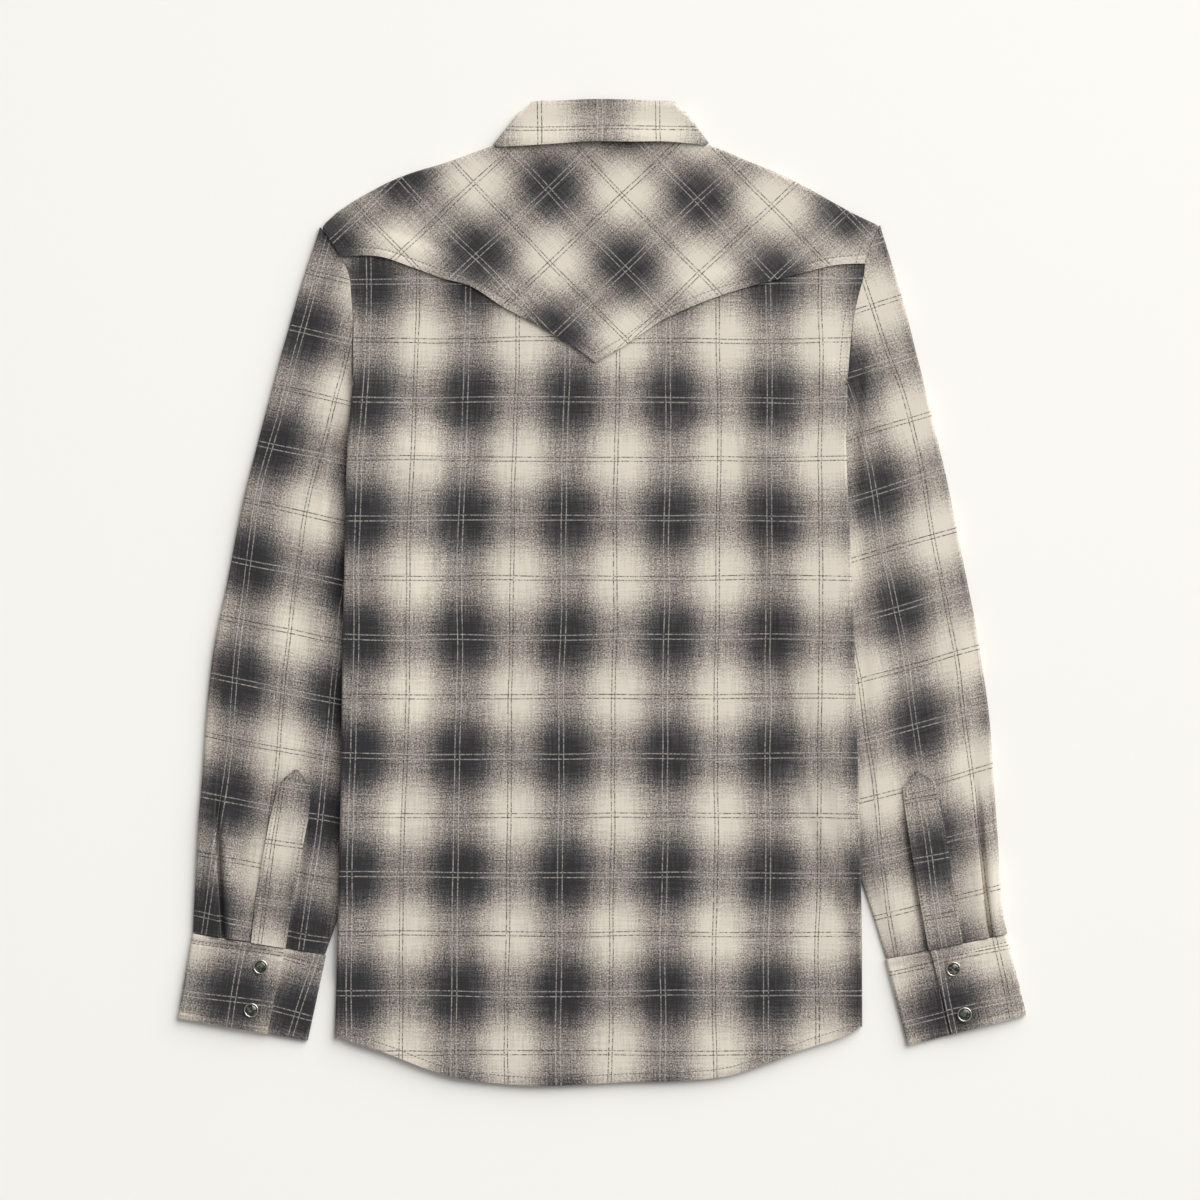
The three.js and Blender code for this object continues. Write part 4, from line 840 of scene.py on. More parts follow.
def cuff_mesh(name):
    cuff = CUFFS[name]
    low_z = CUFF_CLOTH / 2
    under_z = low_z + CUFF_CLOTH + CUFF_HOLLOW
    over_z = under_z + CUFF_CLOTH + SEAM_GAP
    outer_z = over_z - CUFF_OUTER_DROP
    under_end = cuff["overlap_end"] - CUFF_LAP
    width = math.dist(cuff["top_outer"], cuff["top_inner"])
    inner_radius = (under_z - low_z) / 2
    outer_radius = (outer_z - low_z) / 2
    inner_turn = (inner_radius + CUFF_CLOTH / 2) / width
    outer_turn = (outer_radius + CUFF_CLOTH / 2) / width
    # The band's path: share across from the outer side, and height
    path = [(under_end, under_z), (cuff["overlap_end"] + 0.02, under_z),
            (1 - inner_turn, under_z)]
    angles = np.arange(1, 8) / 8 * math.pi
    path += [(1 - inner_turn + inner_radius / width * math.sin(angle),
              low_z + inner_radius * (1 + math.cos(angle))) for angle in angles]
    path += [(1 - inner_turn, low_z), (0.5, low_z), (outer_turn, low_z)]
    path += [(outer_turn - outer_radius / width * math.sin(angle),
              low_z + outer_radius * (1 - math.cos(angle))) for angle in angles]
    path += [(outer_turn, outer_z), (under_end - 0.06, over_z), (cuff["overlap_end"], over_z)]
    path = np.array(path)
    walked_path = walked(path * (width, 1), 0)
    steps = np.union1d(np.arange(0, walked_path[-1], CUFF_STEP), walked_path)
    steps = steps[np.concatenate([[True], np.diff(steps) > 0.25])]
    share = np.interp(steps, walked_path, path[:, 0])
    z = np.interp(steps, walked_path, path[:, 1])
    upper = steps > walked_path[len(path) // 2]
    down = np.linspace(0, 1, CUFF_ROWS + 1)[:, None]
    x, y = cuff_place(cuff, share, down)
    # The doubled band is softly padded between its stitching and its edges
    depth = math.dist(cuff["top_outer"], cuff["low_outer"])
    edge = np.minimum(down, 1 - down) * depth
    end = np.where(upper, walked_path[-1] - steps, steps)
    from_stitch = np.minimum(np.abs(edge - CUFF_STITCH), np.abs(end - CUFF_STITCH))
    puff = CUFF_PUFF * ease(from_stitch / CUFF_PUFF_WIDTH) - CUFF_PUFF / 2
    corner = CUFF_CORNER * ease(1 - edge / CUFF_CORNER_WIDTH)
    seen = z > under_z - 0.01
    heights = np.where(seen, z + puff - corner, z)
    grain = np.where(upper[None, :, None], turned_grain(x, y, cuff["grain"][:2], cuff["grain"][2]),
                     turned_grain(x, y, cuff["under_grain"][:2], cuff["under_grain"][2]))
    # Cut across the grain, so the cloth's length runs round the wrist
    grain = grain[..., ::-1]
    for height in (CUFF_STITCH, depth - CUFF_STITCH):
        line_share = np.linspace(0.03, cuff["overlap_end"] - 0.03, 60)
        line_x, line_y = cuff_place(cuff, line_share, height / depth)
        line_z = np.interp(line_share, [outer_turn, under_end - 0.06], [outer_z, over_z])
        SEAM_LINES.append(np.column_stack([line_x, line_y, line_z + CUFF_CLOTH / 2 - 0.25]))
    return cloth_mesh(f"cuff_{name}_cloth", np.stack([x, y, heights], axis=-1)[::-1],
                      grain[::-1], CUFF_CLOTH)


for name in CUFFS:
    sew_on(cuff_mesh(name), f"cuff_{name}")

# Fronts
# Two panels cut on the straight of grain, joined at the side seams, which lie turned under
# the back. They overlap at the centre, right over left, and show only beyond the back's
# hem. They are kept plain, because they lie face down.
BODY_CLEARANCE = 0.5
BODY_LEAD = 14
FRONT_SNAP_HEIGHT = 1.0
LAP_RISE = FRONT_SNAP_HEIGHT + 2 * SEAM_GAP
FOLD_START = FOLD_TOP - 5
UNDERARM = 114.2
SIDE_TUCK = 50
LEAST_TUCK = 7
FRONT_LAP = 16
FRONT_HEM_RISE = 9
SEAM_HEM_RISE = 34
SHOULDER_TURN = 22
HIGH_TOP = 288.8
HEM_SIDE = 214
FRONT_ROWS = 70
FRONT_HIGH_ROWS = 16
FRONT_COLUMNS = 26

# x, y of the back's hem
BACK_HEM = np.array([
    (-221.0, -364.5), (-209.0, -371.5), (-175.1, -383.0), (-145.3, -394.7), (-121.2, -402.1),
    (-85.5, -406.7), (-47.3, -408.8), (20.8, -405.5), (62.3, -404.6), (103.8, -400.5),
    (136.1, -390.5), (166.0, -378.9), (205.0, -366.0), (216.0, -358.5),
])
# x, y of the shoulder folds and the back neck
TOP_EDGE = np.array([
    (-233.2, 302.5), (-216.6, 317.5), (-182.6, 337.4), (-159.4, 347.4), (-132.0, 355.7),
    (-90.5, 370.2), (-60.0, 378.2), (0.0, 380.8), (60.0, 378.4), (88.5, 371.0),
    (122.0, 357.3), (144.4, 348.2), (168.1, 336.6), (193.4, 322.5), (210.4, 313.3),
    (229.9, 304.2),
])
NECK_LEFT = -90.5
NECK_RIGHT = 88.5
# x, y of the fronts' neckline
FRONT_NECK = np.array([
    (-90.5, 348.0), (-70.0, 334.0), (-40.0, 321.0), (0.0, 316.0), (40.0, 321.0),
    (70.0, 334.0), (88.5, 348.0),
])
# The check's dark crossing nearest the middle of the back
BODY_GRAIN = (-30.5, -37.0)
# y, and how far the grain lies to the right there, at the left and the right end
BODY_LEAN = np.array([
    (226, 7.5, -1.0), (177, 4.2, 0.0), (77, -1.4, -0.8), (-23, -3.2, -0.8),
    (-122, -5.6, -1.7), (-222, -8.8, -1.7), (-322, -9.6, -3.3),
])
BODY_LEAN_ENDS = (-202, 139)


def under_fronts(x, y):
    """Height of what lies under the fronts: the sleeves' inner halves, met by a soft rise."""
    depth = np.where(x < 0, depth_in_sleeve(-1, x, y), depth_in_sleeve(1, x, y)) + BODY_LEAD
    rise = (SLEEVE_EDGE_HEIGHT + BODY_CLEARANCE) * ease(1 + depth / BODY_LEAD)
    return np.where(depth > 0, sleeve_top(depth) + BODY_CLEARANCE, rise)


def lower_layer(x, y):
    """Middle surface of the body's lower layer, which rises over the collar's points."""
    neck = LAP_RISE * ease((y - 262) / 22) * ease((118 - np.abs(x)) / 22)
    return np.maximum(under_fronts(x, y), neck) + CLOTH / 2


def hem_y(x):
    return smooth(BACK_HEM[:, 0], BACK_HEM[:, 1], x)


def armhole_x(side, y):
    armhole = SLEEVES[side_name(side)]["armhole"]
    return np.interp(y, armhole[::-1, 1], armhole[::-1, 0])


def side_of_row(side, share):
    """One side of the body in a row below the underarm: the fold's and the seam's places."""
    hem = hem_y(side * HEM_SIDE)
    y = mix(hem, FOLD_START, share)
    seam_y = mix(hem + SEAM_HEM_RISE, FOLD_START, share)
    tucked = body_side(side, seam_y) - side * SIDE_TUCK
    armhole = armhole_x(side, seam_y) if seam_y > UNDERARM else tucked
    least = body_side(side, seam_y) - side * LEAST_TUCK
    seam = side * min(max(side * armhole, side * tucked), side * least)
    return y, seam_y, body_side(side, y) - side * CLOTH / 2, seam


def shoulder_seam(x):
    """End of the yoke's turned edge under a shoulder, where it meets a front."""
    side = np.sign(x)
    tip = np.where(side < 0, TOP_EDGE[0, 0], TOP_EDGE[-1, 0])
    near = ease(1 - np.abs(x - tip) / 36)
    seam = np.where(side < 0, armhole_x(-1, HIGH_TOP), armhole_x(1, HIGH_TOP))
    top_y = smooth(TOP_EDGE[:, 0], TOP_EDGE[:, 1], x) - SHOULDER_TURN
    return mix(x, seam - side * ARMHOLE_GAP / 2, near), mix(top_y, HIGH_TOP + SEAM_GAP, near)


def body_grain(x, y):
    """Place in the body's cloth: its straight of grain leans out towards the left hem."""
    share = np.clip((BODY_LEAN_ENDS[1] - x) / (BODY_LEAN_ENDS[1] - BODY_LEAN_ENDS[0]), 0, 1.1)
    left = smooth(BODY_LEAN[:, 0], BODY_LEAN[:, 1], y)
    right = smooth(BODY_LEAN[:, 0], BODY_LEAN[:, 2], y)
    return np.stack([x - mix(right, left, share ** 1.5) - BODY_GRAIN[0],
                     y - BODY_GRAIN[1]], axis=-1)


def front_mesh(name, side):
    lap_x = np.array([side * 18.0, -side * FRONT_LAP])
    neck = NECK_LEFT if side < 0 else NECK_RIGHT
    centre = side * 32.0
    across = np.linspace(0, 1, FRONT_COLUMNS + 1)
    # The same share of the columns spans the shoulder in every row
    shoulder = 2 / 3
    lap = np.concatenate([np.zeros(FRONT_COLUMNS + 1), [1, 1]])
    lift = LAYER if side > 0 else 0

    def heights(x, y):
        base = lower_layer(x, y)
        return mix(base, np.maximum(base, LAP_RISE + CLOTH / 2) + lift, lap)

    rows = []
    for share in np.linspace(0, 1, FRONT_ROWS + 1):
        _, seam_y, _, seam = side_of_row(side, share)
        x = np.concatenate([mix(seam, centre, across), lap_x])
        y = mix(hem_y(x) + FRONT_HEM_RISE, FOLD_START, share)
        turned = np.concatenate([ease(1 - across / 0.5), [0, 0]])
        y = mix(y, seam_y, turned)
        rows.append(np.stack([x, y, heights(x, y)], axis=-1))
    low = rows[-1]
    first_x = armhole_x(side, HIGH_TOP) - side * ARMHOLE_GAP / 2
    shoulder_x = mix(first_x, neck, np.minimum(across / shoulder, 1))
    _, shoulder_y = shoulder_seam(shoulder_x)
    neck_x = mix(neck, centre, np.maximum(across - shoulder, 0) / (1 - shoulder))
    top_x = np.concatenate([np.where(across < shoulder, shoulder_x, neck_x), lap_x])
    neck_y = smooth(FRONT_NECK[:, 0], FRONT_NECK[:, 1], top_x)
    top_y = np.where(np.arange(len(top_x)) <= shoulder * FRONT_COLUMNS,
                     np.concatenate([shoulder_y, [0, 0]]) - SEAM_GAP, neck_y)
    top_y[0] = HIGH_TOP
    for level in np.linspace(FOLD_TOP, HIGH_TOP, FRONT_HIGH_ROWS):
        share = (level - FOLD_START) / (HIGH_TOP - FOLD_START)
        x = mix(low[:, 0], top_x, share)
        y = mix(low[:, 1], top_y, share)
        edge = armhole_x(side, level) - side * ARMHOLE_GAP / 2
        shift = (edge - x[0]) * ease(1 - np.arange(len(x)) / 8)
        x = x + shift
        rows.append(np.stack([x, y, heights(x, y)], axis=-1))
    points = np.array(rows)
    return cloth_mesh(f"front_{name}_cloth", points, body_grain(points[..., 0], points[..., 1]))


for name, side in (("left", -1), ("right", 1)):
    sew_on(front_mesh(name, side), f"front_{name}")

# Back panel
# One piece cut on the straight of grain, with a curved shirt-tail hem turned up twice and
# stitched. Its sides turn under to the side seams. Wear and folding have pressed long, low,
# uneven folds into it.
BODY_HOLLOW = 2.7
BACK_LOW = 5.3
BACK_RISE = (CLOTH * 1.5 + BODY_HOLLOW - BACK_LOW + SLEEVE_HEIGHT + BODY_CLEARANCE) \
    / (SLEEVE_HEIGHT + BODY_CLEARANCE)
ARMHOLE_SLOPE = 30
YOKE_LAP = 12
HEM_STITCH = 7
HEM_STITCH_LIFT = 0.4
HEM_TURNING = 0.45
BACK_ROWS = 150
BACK_HIGH_ROWS = 34
BACK_COLUMNS = 120
TUCK_COLUMNS = 10
SIDE_TURN_STEPS = 8

# x, y, lean, length, width, depth of the folds that the solid has too
BACK_FOLDS = [
    (-172, 110, 0.10, 60, 18, 1.1), (-112, -10, -0.06, 120, 26, 0.9),
    (74, 60, 0.08, 90, 24, 0.8), (166, 20, -0.05, 120, 20, 1.0),
    (-78, -230, 0.05, 110, 26, 0.9), (110, -240, -0.04, 100, 22, 1.0),
    (-178, -210, 0.03, 100, 18, 1.1),
]
# The same columns for finer creases, with height above zero for ridges
BACK_CREASES = [
    (-190, 215, 0.16, 50, 7, 0.5), (-176, 190, 0.12, 55, 8, -0.5), (-160, 225, 0.10, 45, 8, 0.45),
    (-144, 180, 0.05, 60, 9, -0.4), (186, 200, -0.12, 60, 8, 0.5), (172, 170, -0.08, 70, 9, -0.5),
    (150, 110, -0.06, 80, 11, 0.4), (-60, 120, 0.03, 90, 16, 0.4), (20, 30, -0.02, 110, 18, 0.35),
    (-30, -130, 0.03, 120, 20, 0.35), (60, -160, -0.03, 90, 16, -0.35),
    (-150, -330, 0.06, 50, 12, 0.5), (-90, -350, 0.03, 45, 12, -0.4),
    (140, -330, -0.05, 50, 12, 0.5), (190, -290, -0.02, 70, 9, 0.5),
    (-196, -60, 0.02, 90, 8, 0.5), (196, -120, -0.02, 90, 8, 0.4),
]
# x, y along the yoke's pointed lower edge
YOKE_EDGE_LEFT = np.array([
    (-216.6, 278.5), (-186.0, 278.5), (-159.4, 270.2), (-132.0, 260.2), (-108.7, 253.6),
    (-81.3, 236.1), (-47.3, 217.9), (-16.6, 198.8), (-5.8, 190.5),
])
YOKE_EDGE_RIGHT = np.array([
    (-5.8, 190.5), (18.3, 204.2), (49.8, 225.3), (83.0, 240.3), (117.0, 251.9),
    (161.9, 263.5), (190.1, 270.6), (204.0, 272.2), (217.5, 272.4),
])


def yoke_edge(x):
    left = smooth(YOKE_EDGE_LEFT[:, 0], YOKE_EDGE_LEFT[:, 1], x)
    right = smooth(YOKE_EDGE_RIGHT[:, 0], YOKE_EDGE_RIGHT[:, 1], x)
    return np.where(x < YOKE_EDGE_RIGHT[0, 0], left, right)


def upper_layer(x, y):
    """Middle surface of the body's upper layer, which follows what lies below it and comes
    down to the sleeves along the armhole seams."""
    centre = ease((np.abs(x) - 34) / 14)
    level = BACK_LOW + BACK_RISE * under_fronts(x, y) - fold_height(BACK_FOLDS, x, y) * centre
    level = level + fold_height(BACK_CREASES, x, y)
    near = np.zeros(np.shape(x))
    for side in (-1, 1):
        armhole = SLEEVES[side_name(side)]["armhole"]
        seam = armhole[armhole[:, 1] >= FOLD_TOP]
        distance = np.where(np.sign(x) == side, distance_to(seam, x, y), np.inf)
        near = np.maximum(near, ease(1.25 - distance / ARMHOLE_SLOPE))
    high = ease((y - FOLD_START) / 25)
    target = np.maximum(lower_layer(x, y) + LAYER + 0.1, SLEEVE_HEIGHT - CLOTH / 2 - 0.2)
    return mix(level, target, near * high)


def turned_side(side, share):
    """The turned side of the back in a low row, from the side seam to the start of its top."""
    y, seam_y, edge, seam = side_of_row(side, share)
    low_z = float(lower_layer(edge, y))
    high_z = float(upper_layer(edge, y))
    start = np.array([edge - side * (high_z - low_z) / 2, y, high_z])
    part = 1 - np.arange(TUCK_COLUMNS + 1) / TUCK_COLUMNS
    x = mix(start[0], seam + side * SEAM_GAP, part)
    place = mix(y, seam_y, part)
    z = lower_layer(x, place)
    z[-1] = low_z
    turn = half_turn(start, low_z, (side, 0), SIDE_TURN_STEPS)[::-1]
    return np.vstack([np.stack([x, place, z], axis=-1), turn]), start


def back_mesh():
    unit = np.linspace(0, 1, BACK_COLUMNS + 1)
    rows = []
    places = []
    for share in np.linspace(0, 1, BACK_ROWS + 1):
        left, left_start = turned_side(-1, share)
        right, right_start = turned_side(1, share)
        x = mix(left_start[0], right_start[0], unit)
        y = mix(hem_y(x), FOLD_START, share)
        y[0] = left_start[1]
        y[-1] = right_start[1]
        # The hem's double turning makes its last centimetre a little thicker
        from_hem = y - hem_y(x)
        hem = HEM_TURNING * ease((HEM_STITCH + 2 - from_hem) / 3) * ease((from_hem + 4) / 5)
        top = np.stack([x, y, upper_layer(x, y) + hem], axis=-1)
        row = np.vstack([left, top, right[::-1]])
        grain = body_grain(row[:, 0], row[:, 1])
        first = len(left)
        last = first + len(top) - 1
        length = walked(row, first)
        grain[:first, 0] = grain[first, 0] + length[:first]
        grain[last:, 0] = grain[last, 0] + length[last:] - length[last]
        rows.append(row)
        places.append(grain)
    blank = np.full((TUCK_COLUMNS + SIDE_TURN_STEPS, 3), np.nan)
    ends = YOKE_LAP + np.array([YOKE_EDGE_LEFT[0, 1], YOKE_EDGE_RIGHT[-1, 1]])
    for share in np.linspace(0, 1, BACK_HIGH_ROWS + 1)[1:]:
        left_y, right_y = mix(FOLD_START, ends, share)
        left_x = armhole_x(-1, left_y) + ARMHOLE_GAP / 2
        right_x = armhole_x(1, right_y) - ARMHOLE_GAP / 2
        x = mix(left_x, right_x, unit)
        y = mix(FOLD_START, yoke_edge(x) + YOKE_LAP, share)
        top = np.stack([x, y, upper_layer(x, y)], axis=-1)
        rows.append(np.vstack([blank, top, blank]))
        places.append(body_grain(rows[-1][:, 0], rows[-1][:, 1]))
    return cloth_mesh("back_panel_cloth", np.array(rows), np.nan_to_num(np.array(places)))


sew_on(back_mesh(), "back_panel")

# The hem's line of stitching
hem_x = np.linspace(-206, 204, 220)
hem_line = hem_y(hem_x) + HEM_STITCH
hem_z = upper_layer(hem_x, hem_line) + CLOTH / 2 + HEM_STITCH_LIFT
SEAM_LINES.append(np.column_stack([hem_x, hem_line, hem_z]))

# Back yoke
# A pointed piece cut on the bias, so its check runs at about 45 degrees. Its lower edge is
# turned in and topstitched over the back panel, and its upper edge turns over the shoulders
# to meet the fronts.
YOKE_LIFT = LAYER + 0.4
YOKE_STITCH = 6.5
SHOULDER_CELLS = 34
NECK_CELLS = 28
YOKE_ROWS = 56
SHOULDER_STEPS = 7
BIAS_ROWS_UNDER = 6
ARMHOLE_STITCH = 7
# One repeat of the check along each of its directions, as it lies on the yoke, and the place
# of a dark crossing
YOKE_ACROSS = np.array([59.8, 56.2])
YOKE_ALONG = np.array([-63.6, 65.6])
YOKE_GRAIN = np.array([-44.8, 334.1])


def yoke_grain(x, y):
    axes = np.linalg.inv(np.column_stack([YOKE_ACROSS, YOKE_ALONG]))
    turns = np.stack([x - YOKE_GRAIN[0], y - YOKE_GRAIN[1]], axis=-1) @ axes.T
    return turns * (CHECK_WIDTH, CHECK_LENGTH)


def top_columns():
    middle = YOKE_EDGE_RIGHT[0, 0]
    runs = [(TOP_EDGE[0, 0], NECK_LEFT, SHOULDER_CELLS), (NECK_LEFT, middle, NECK_CELLS),
            (middle, NECK_RIGHT, NECK_CELLS), (NECK_RIGHT, TOP_EDGE[-1, 0], SHOULDER_CELLS)]
    parts = [np.linspace(start, end, cells, endpoint=False) for start, end, cells in runs]
    return np.concatenate([*parts, [TOP_EDGE[-1, 0]]])


def yoke_lift(distance):
    """How far the yoke stands above the upper layer, over the back panel's hidden edge."""
    turned = 0.35 * ease((YOKE_STITCH - distance) / 2) - 0.2 * np.exp(
        -((distance - YOKE_STITCH) / 1.6) ** 2)
    return YOKE_LIFT * (1 - ease((distance - YOKE_LAP - 1.5) / 14)) + turned


def yoke_mesh():
    top = top_columns()
    half = SHOULDER_CELLS + NECK_CELLS
    middle = YOKE_EDGE_RIGHT[0, 0]
    order = np.arange(len(top))
    bottom = np.where(order <= half,
                      mix(YOKE_EDGE_LEFT[0, 0], middle, order / half),
                      mix(middle, YOKE_EDGE_RIGHT[-1, 0], (order - half) / half))
    columns = []
    places = []
    for j, (top_x, bottom_x) in enumerate(zip(top, bottom)):
        side = 1 if top_x > 0 else -1
        shoulder = abs(j - half) >= NECK_CELLS
        from_end = min(j, len(top) - 1 - j)
        low_y = float(yoke_edge(bottom_x))
        high_y = float(smooth(TOP_EDGE[:, 0], TOP_EDGE[:, 1], top_x))
        low_z = float(lower_layer(top_x, high_y))
        high_z = float(upper_layer(top_x, high_y))
        radius = (high_z - low_z) / 2 + CLOTH / 2 if shoulder else 0
        distance = np.linspace(0, 1, YOKE_ROWS + 1) * (high_y - radius - low_y)
        y = low_y + distance
        x = mix(bottom_x, top_x, distance / distance[-1])
        # Near its ends the yoke follows the armhole's curve
        end_x = (YOKE_EDGE_LEFT[0, 0], TOP_EDGE[0, 0]) if side < 0 \
            else (YOKE_EDGE_RIGHT[-1, 0], TOP_EDGE[-1, 0])
        straight = mix(end_x[0], end_x[1], distance / distance[-1])
        bulge = armhole_x(side, y) - side * ARMHOLE_GAP / 2 - straight
        x = x + bulge * ease(1 - from_end / 16)
        z = upper_layer(x, y) + yoke_lift(distance)
        armhole = SLEEVES[side_name(side)]["armhole"]
        felled = distance_to(armhole, x, y)
        z = z + 0.35 * ease((ARMHOLE_STITCH - felled) / 2)
        column = np.stack([x, y, z], axis=-1)
        if shoulder:
            turn = half_turn(column[-1], low_z, (0, 1), SHOULDER_STEPS)
            seam_x, seam_y = shoulder_seam(column[-1, 0])
            share = np.linspace(0.1, 1, BIAS_ROWS_UNDER)
            under_x = mix(column[-1, 0], seam_x, share)
            under_y = mix(column[-1, 1], seam_y, share)
            under = np.stack([under_x, under_y, lower_layer(under_x, under_y)], axis=-1)
            full = np.vstack([column, turn, under])
        else:
            full = np.vstack([column, np.full((SHOULDER_STEPS - 1 + BIAS_ROWS_UNDER, 3), np.nan)])
        unrolled = full[:, :2].copy()
        if shoulder:
            # Over the shoulder the cloth goes on round the fold and down to the front
            unrolled[YOKE_ROWS:, 0] = full[YOKE_ROWS, 0]
            unrolled[YOKE_ROWS:, 1] = full[YOKE_ROWS, 1] + walked(full[YOKE_ROWS:], 0)
        grain = yoke_grain(unrolled[:, 0], unrolled[:, 1])
        columns.append(full)
        places.append(grain)
    points = np.array(columns).transpose(1, 0, 2)
    return cloth_mesh("back_yoke_cloth", points, np.nan_to_num(np.array(places).transpose(1, 0, 2)))


sew_on(yoke_mesh(), "back_yoke")

# Topstitching along the yoke's edge
for start_x, end_x in ((-208, -6), (-5.6, 210)):
    line_x = np.linspace(start_x, end_x, 160)
    slope = np.gradient(yoke_edge(line_x), line_x)
    line_y = yoke_edge(line_x) + YOKE_STITCH * np.sqrt(1 + slope**2)
    line_z = upper_layer(line_x, line_y) + YOKE_LIFT + CLOTH / 2
    SEAM_LINES.append(np.column_stack([line_x, line_y, line_z]))
# The felled armholes' stitching, over the yoke's end and down the back panel
for side in (-1, 1):
    line_y = np.linspace(292, 182, 60)
    line_x = armhole_x(side, line_y) - side * (ARMHOLE_STITCH + 0.6)
    above_edge = line_y - yoke_edge(line_x)
    line_z = upper_layer(line_x, line_y) + np.where(above_edge > 0, yoke_lift(above_edge), 0)
    SEAM_LINES.append(np.column_stack([line_x, line_y, line_z + CLOTH / 2 + 0.1]))

# Collar stand
# A band of the same flannel round the neck, hidden by the leaf that falls over it. Its ends
# meet at the centre front, right over left.
STAND_INSET = 4
STAND_TAPER = 0.76
STAND_END = 80
STAND_ROWS = 6
# x, lower edge y (zero where it follows the fronts' neckline), upper edge x, upper edge y
STAND_FRONT = [
    (80, 374, 57, 398), (80, 356, 55, 383), (76, 341, 51, 367), (61, 331, 42, 355),
    (32, 0, 30, 347), (18, 0, 19, 344), (-14, 0, -14, 344),
]
# fold x, fold y, edge x, edge y of the leaf's visible back, from left to right
LEAF_BACK = np.array([
    (-68.0, 399.5, -90.5, 368.6), (-58.0, 406.3, -74.0, 369.4), (-36.0, 407.3, -42.0, 371.2),
    (-10.0, 408.6, -10.0, 373.2), (22.0, 408.2, 24.0, 373.0), (44.0, 407.2, 52.0, 373.2),
    (60.0, 406.3, 74.0, 371.6), (69.0, 400.0, 88.4, 370.0),
])


def stand_mesh():
    front_z = LAP_RISE + CLOTH / 2
    share = np.linspace(0, 1, STAND_ROWS + 1)[:, None]

    def band(low, high, z):
        low = np.array([*low, z])
        high = np.array([*high, z])
        return mix(low, high, share)

    def end(side):
        start = band((side * STAND_END, 376.2), (side * 58, 400), BACK_LOW)
        bands = [start, *half_turn(start, front_z, (side, 0), 6)]
        for x, low_y, high_x, high_y in STAND_FRONT:
            low_y = low_y or float(smooth(FRONT_NECK[:, 0], FRONT_NECK[:, 1], side * x)) + 0.6
            lapped = LAYER if side > 0 and x < 25 else 0
            bands.append(band((side * x, low_y), (side * high_x, high_y), front_z + lapped))
        return bands

    columns = top_columns()
    columns = columns[np.abs(columns) < STAND_END - 6]
    back = []
    for x in columns:
        low_y = float(smooth(TOP_EDGE[:, 0], TOP_EDGE[:, 1], x)) + 0.45
        fold_x = x * STAND_TAPER
        fold_y = float(smooth(LEAF_BACK[:, 0], LEAF_BACK[:, 1], fold_x))
        back.append(band((x, low_y), (fold_x, fold_y - STAND_INSET), BACK_LOW))
    points = np.array([*end(-1)[::-1], *back, *end(1)])
    return cloth_mesh("collar_stand_cloth", points, body_grain(points[..., 0], points[..., 1]))


sew_on(stand_mesh(), "collar_stand")

# Collar leaf
# A doubled band cut across the grain, so its cloth's length runs round the neck. It falls
# over the stand at a soft rolled fold, and its lower edge stands a little off the yoke,
# most at the middle. Its ends turn under to two points.
LEAF_POINT = (9.0, 346.0, 49.0, 286.0)
LEAF_CORNER_LIFT = 0.8
LEAF_ROWS = 18
LEAF_COLUMNS = 64
LEAF_TURN_STEPS = 8
WING_CELLS = 12
LEAF_STAND_OFF = 4.2
# The check's dark line nearest the middle of the collar, and its light line across
LEAF_GRAIN = (-2.5, 384.3 - CHECK_WIDTH / 2)


def leaf_mesh():
    back_z = BACK_LOW + LAYER + 0.1
    share = np.linspace(0, 1, LEAF_ROWS + 1)
    curl = 1.7 * (1 - np.minimum(share / 0.16, 1)) ** 2

    def band(row, z, curled, lift):
        fold_x, fold_y, edge_x, edge_y = row
        return np.column_stack([mix(fold_x, edge_x, share), mix(fold_y, edge_y, share),
                                z - curl * curled + lift * ease((share - 0.45) / 0.55)])

    def end(side):
        fold_x, fold_y, edge_x, edge_y = LEAF_BACK[0] if side < 0 else LEAF_BACK[-1]
        out = (side * 0.8, 0.6)
        radius = (back_z - CLOTH / 2) / 2 + CLOTH / 2
        start = np.array([fold_x - out[0] * radius, fold_y - out[1] * radius,
                          edge_x - out[0] * radius,
                          edge_y + LEAF_CORNER_LIFT - out[1] * radius * 0.2])
        high = band(start, back_z, 1, 0)
        point = np.array(LEAF_POINT) * (side, 1, side, 1)
        wing = [band(mix(start, point, k / WING_CELLS), CLOTH / 2, 0, 0)
                for k in range(WING_CELLS + 1)]
        return [high, *half_turn(high, CLOTH / 2, out, LEAF_TURN_STEPS), *wing]

    fold_x = np.linspace(LEAF_BACK[1, 0], LEAF_BACK[-2, 0], LEAF_COLUMNS + 1)
    keys = LEAF_BACK[:, 0]
    back = []
    for x in fold_x:
        row = [float(smooth(keys, LEAF_BACK[:, column], x)) for column in range(4)]
        lift = LEAF_STAND_OFF * math.cos(x / 75 * math.pi / 2)
        back.append(band(row, back_z, 1, max(lift, 0)))
    points = np.array([*end(-1)[::-1], *back, *end(1)])
    grain = np.stack([points[..., 1] - LEAF_GRAIN[1], points[..., 0] - LEAF_GRAIN[0]], axis=-1)
    return cloth_mesh("collar_leaf_cloth", points, grain)


sew_on(leaf_mesh(), "collar_leaf")

# Snaps
# Pressed metal snaps with a domed cap of smoky pearl resin in a bright nickel rim, two on
# each cuff. Seven plain ones close the front, face down under the shirt.
SNAP_PLACES = {
    "left": ((-282.8, -310.0), (-290.5, -345.9)),
    "right": ((291.0, -311.7), (300.2, -349.4)),
}
SNAP_RADIUS = 6.1
SNAP_CAP_RADIUS = 4.6
SNAP_HEIGHT = 2.4
SNAP_RIM_HEIGHT = 1.7
SNAP_SIDES = 48
CUFF_TOP = CUFF_CLOTH * 3 + CUFF_HOLLOW + 2 * SEAM_GAP


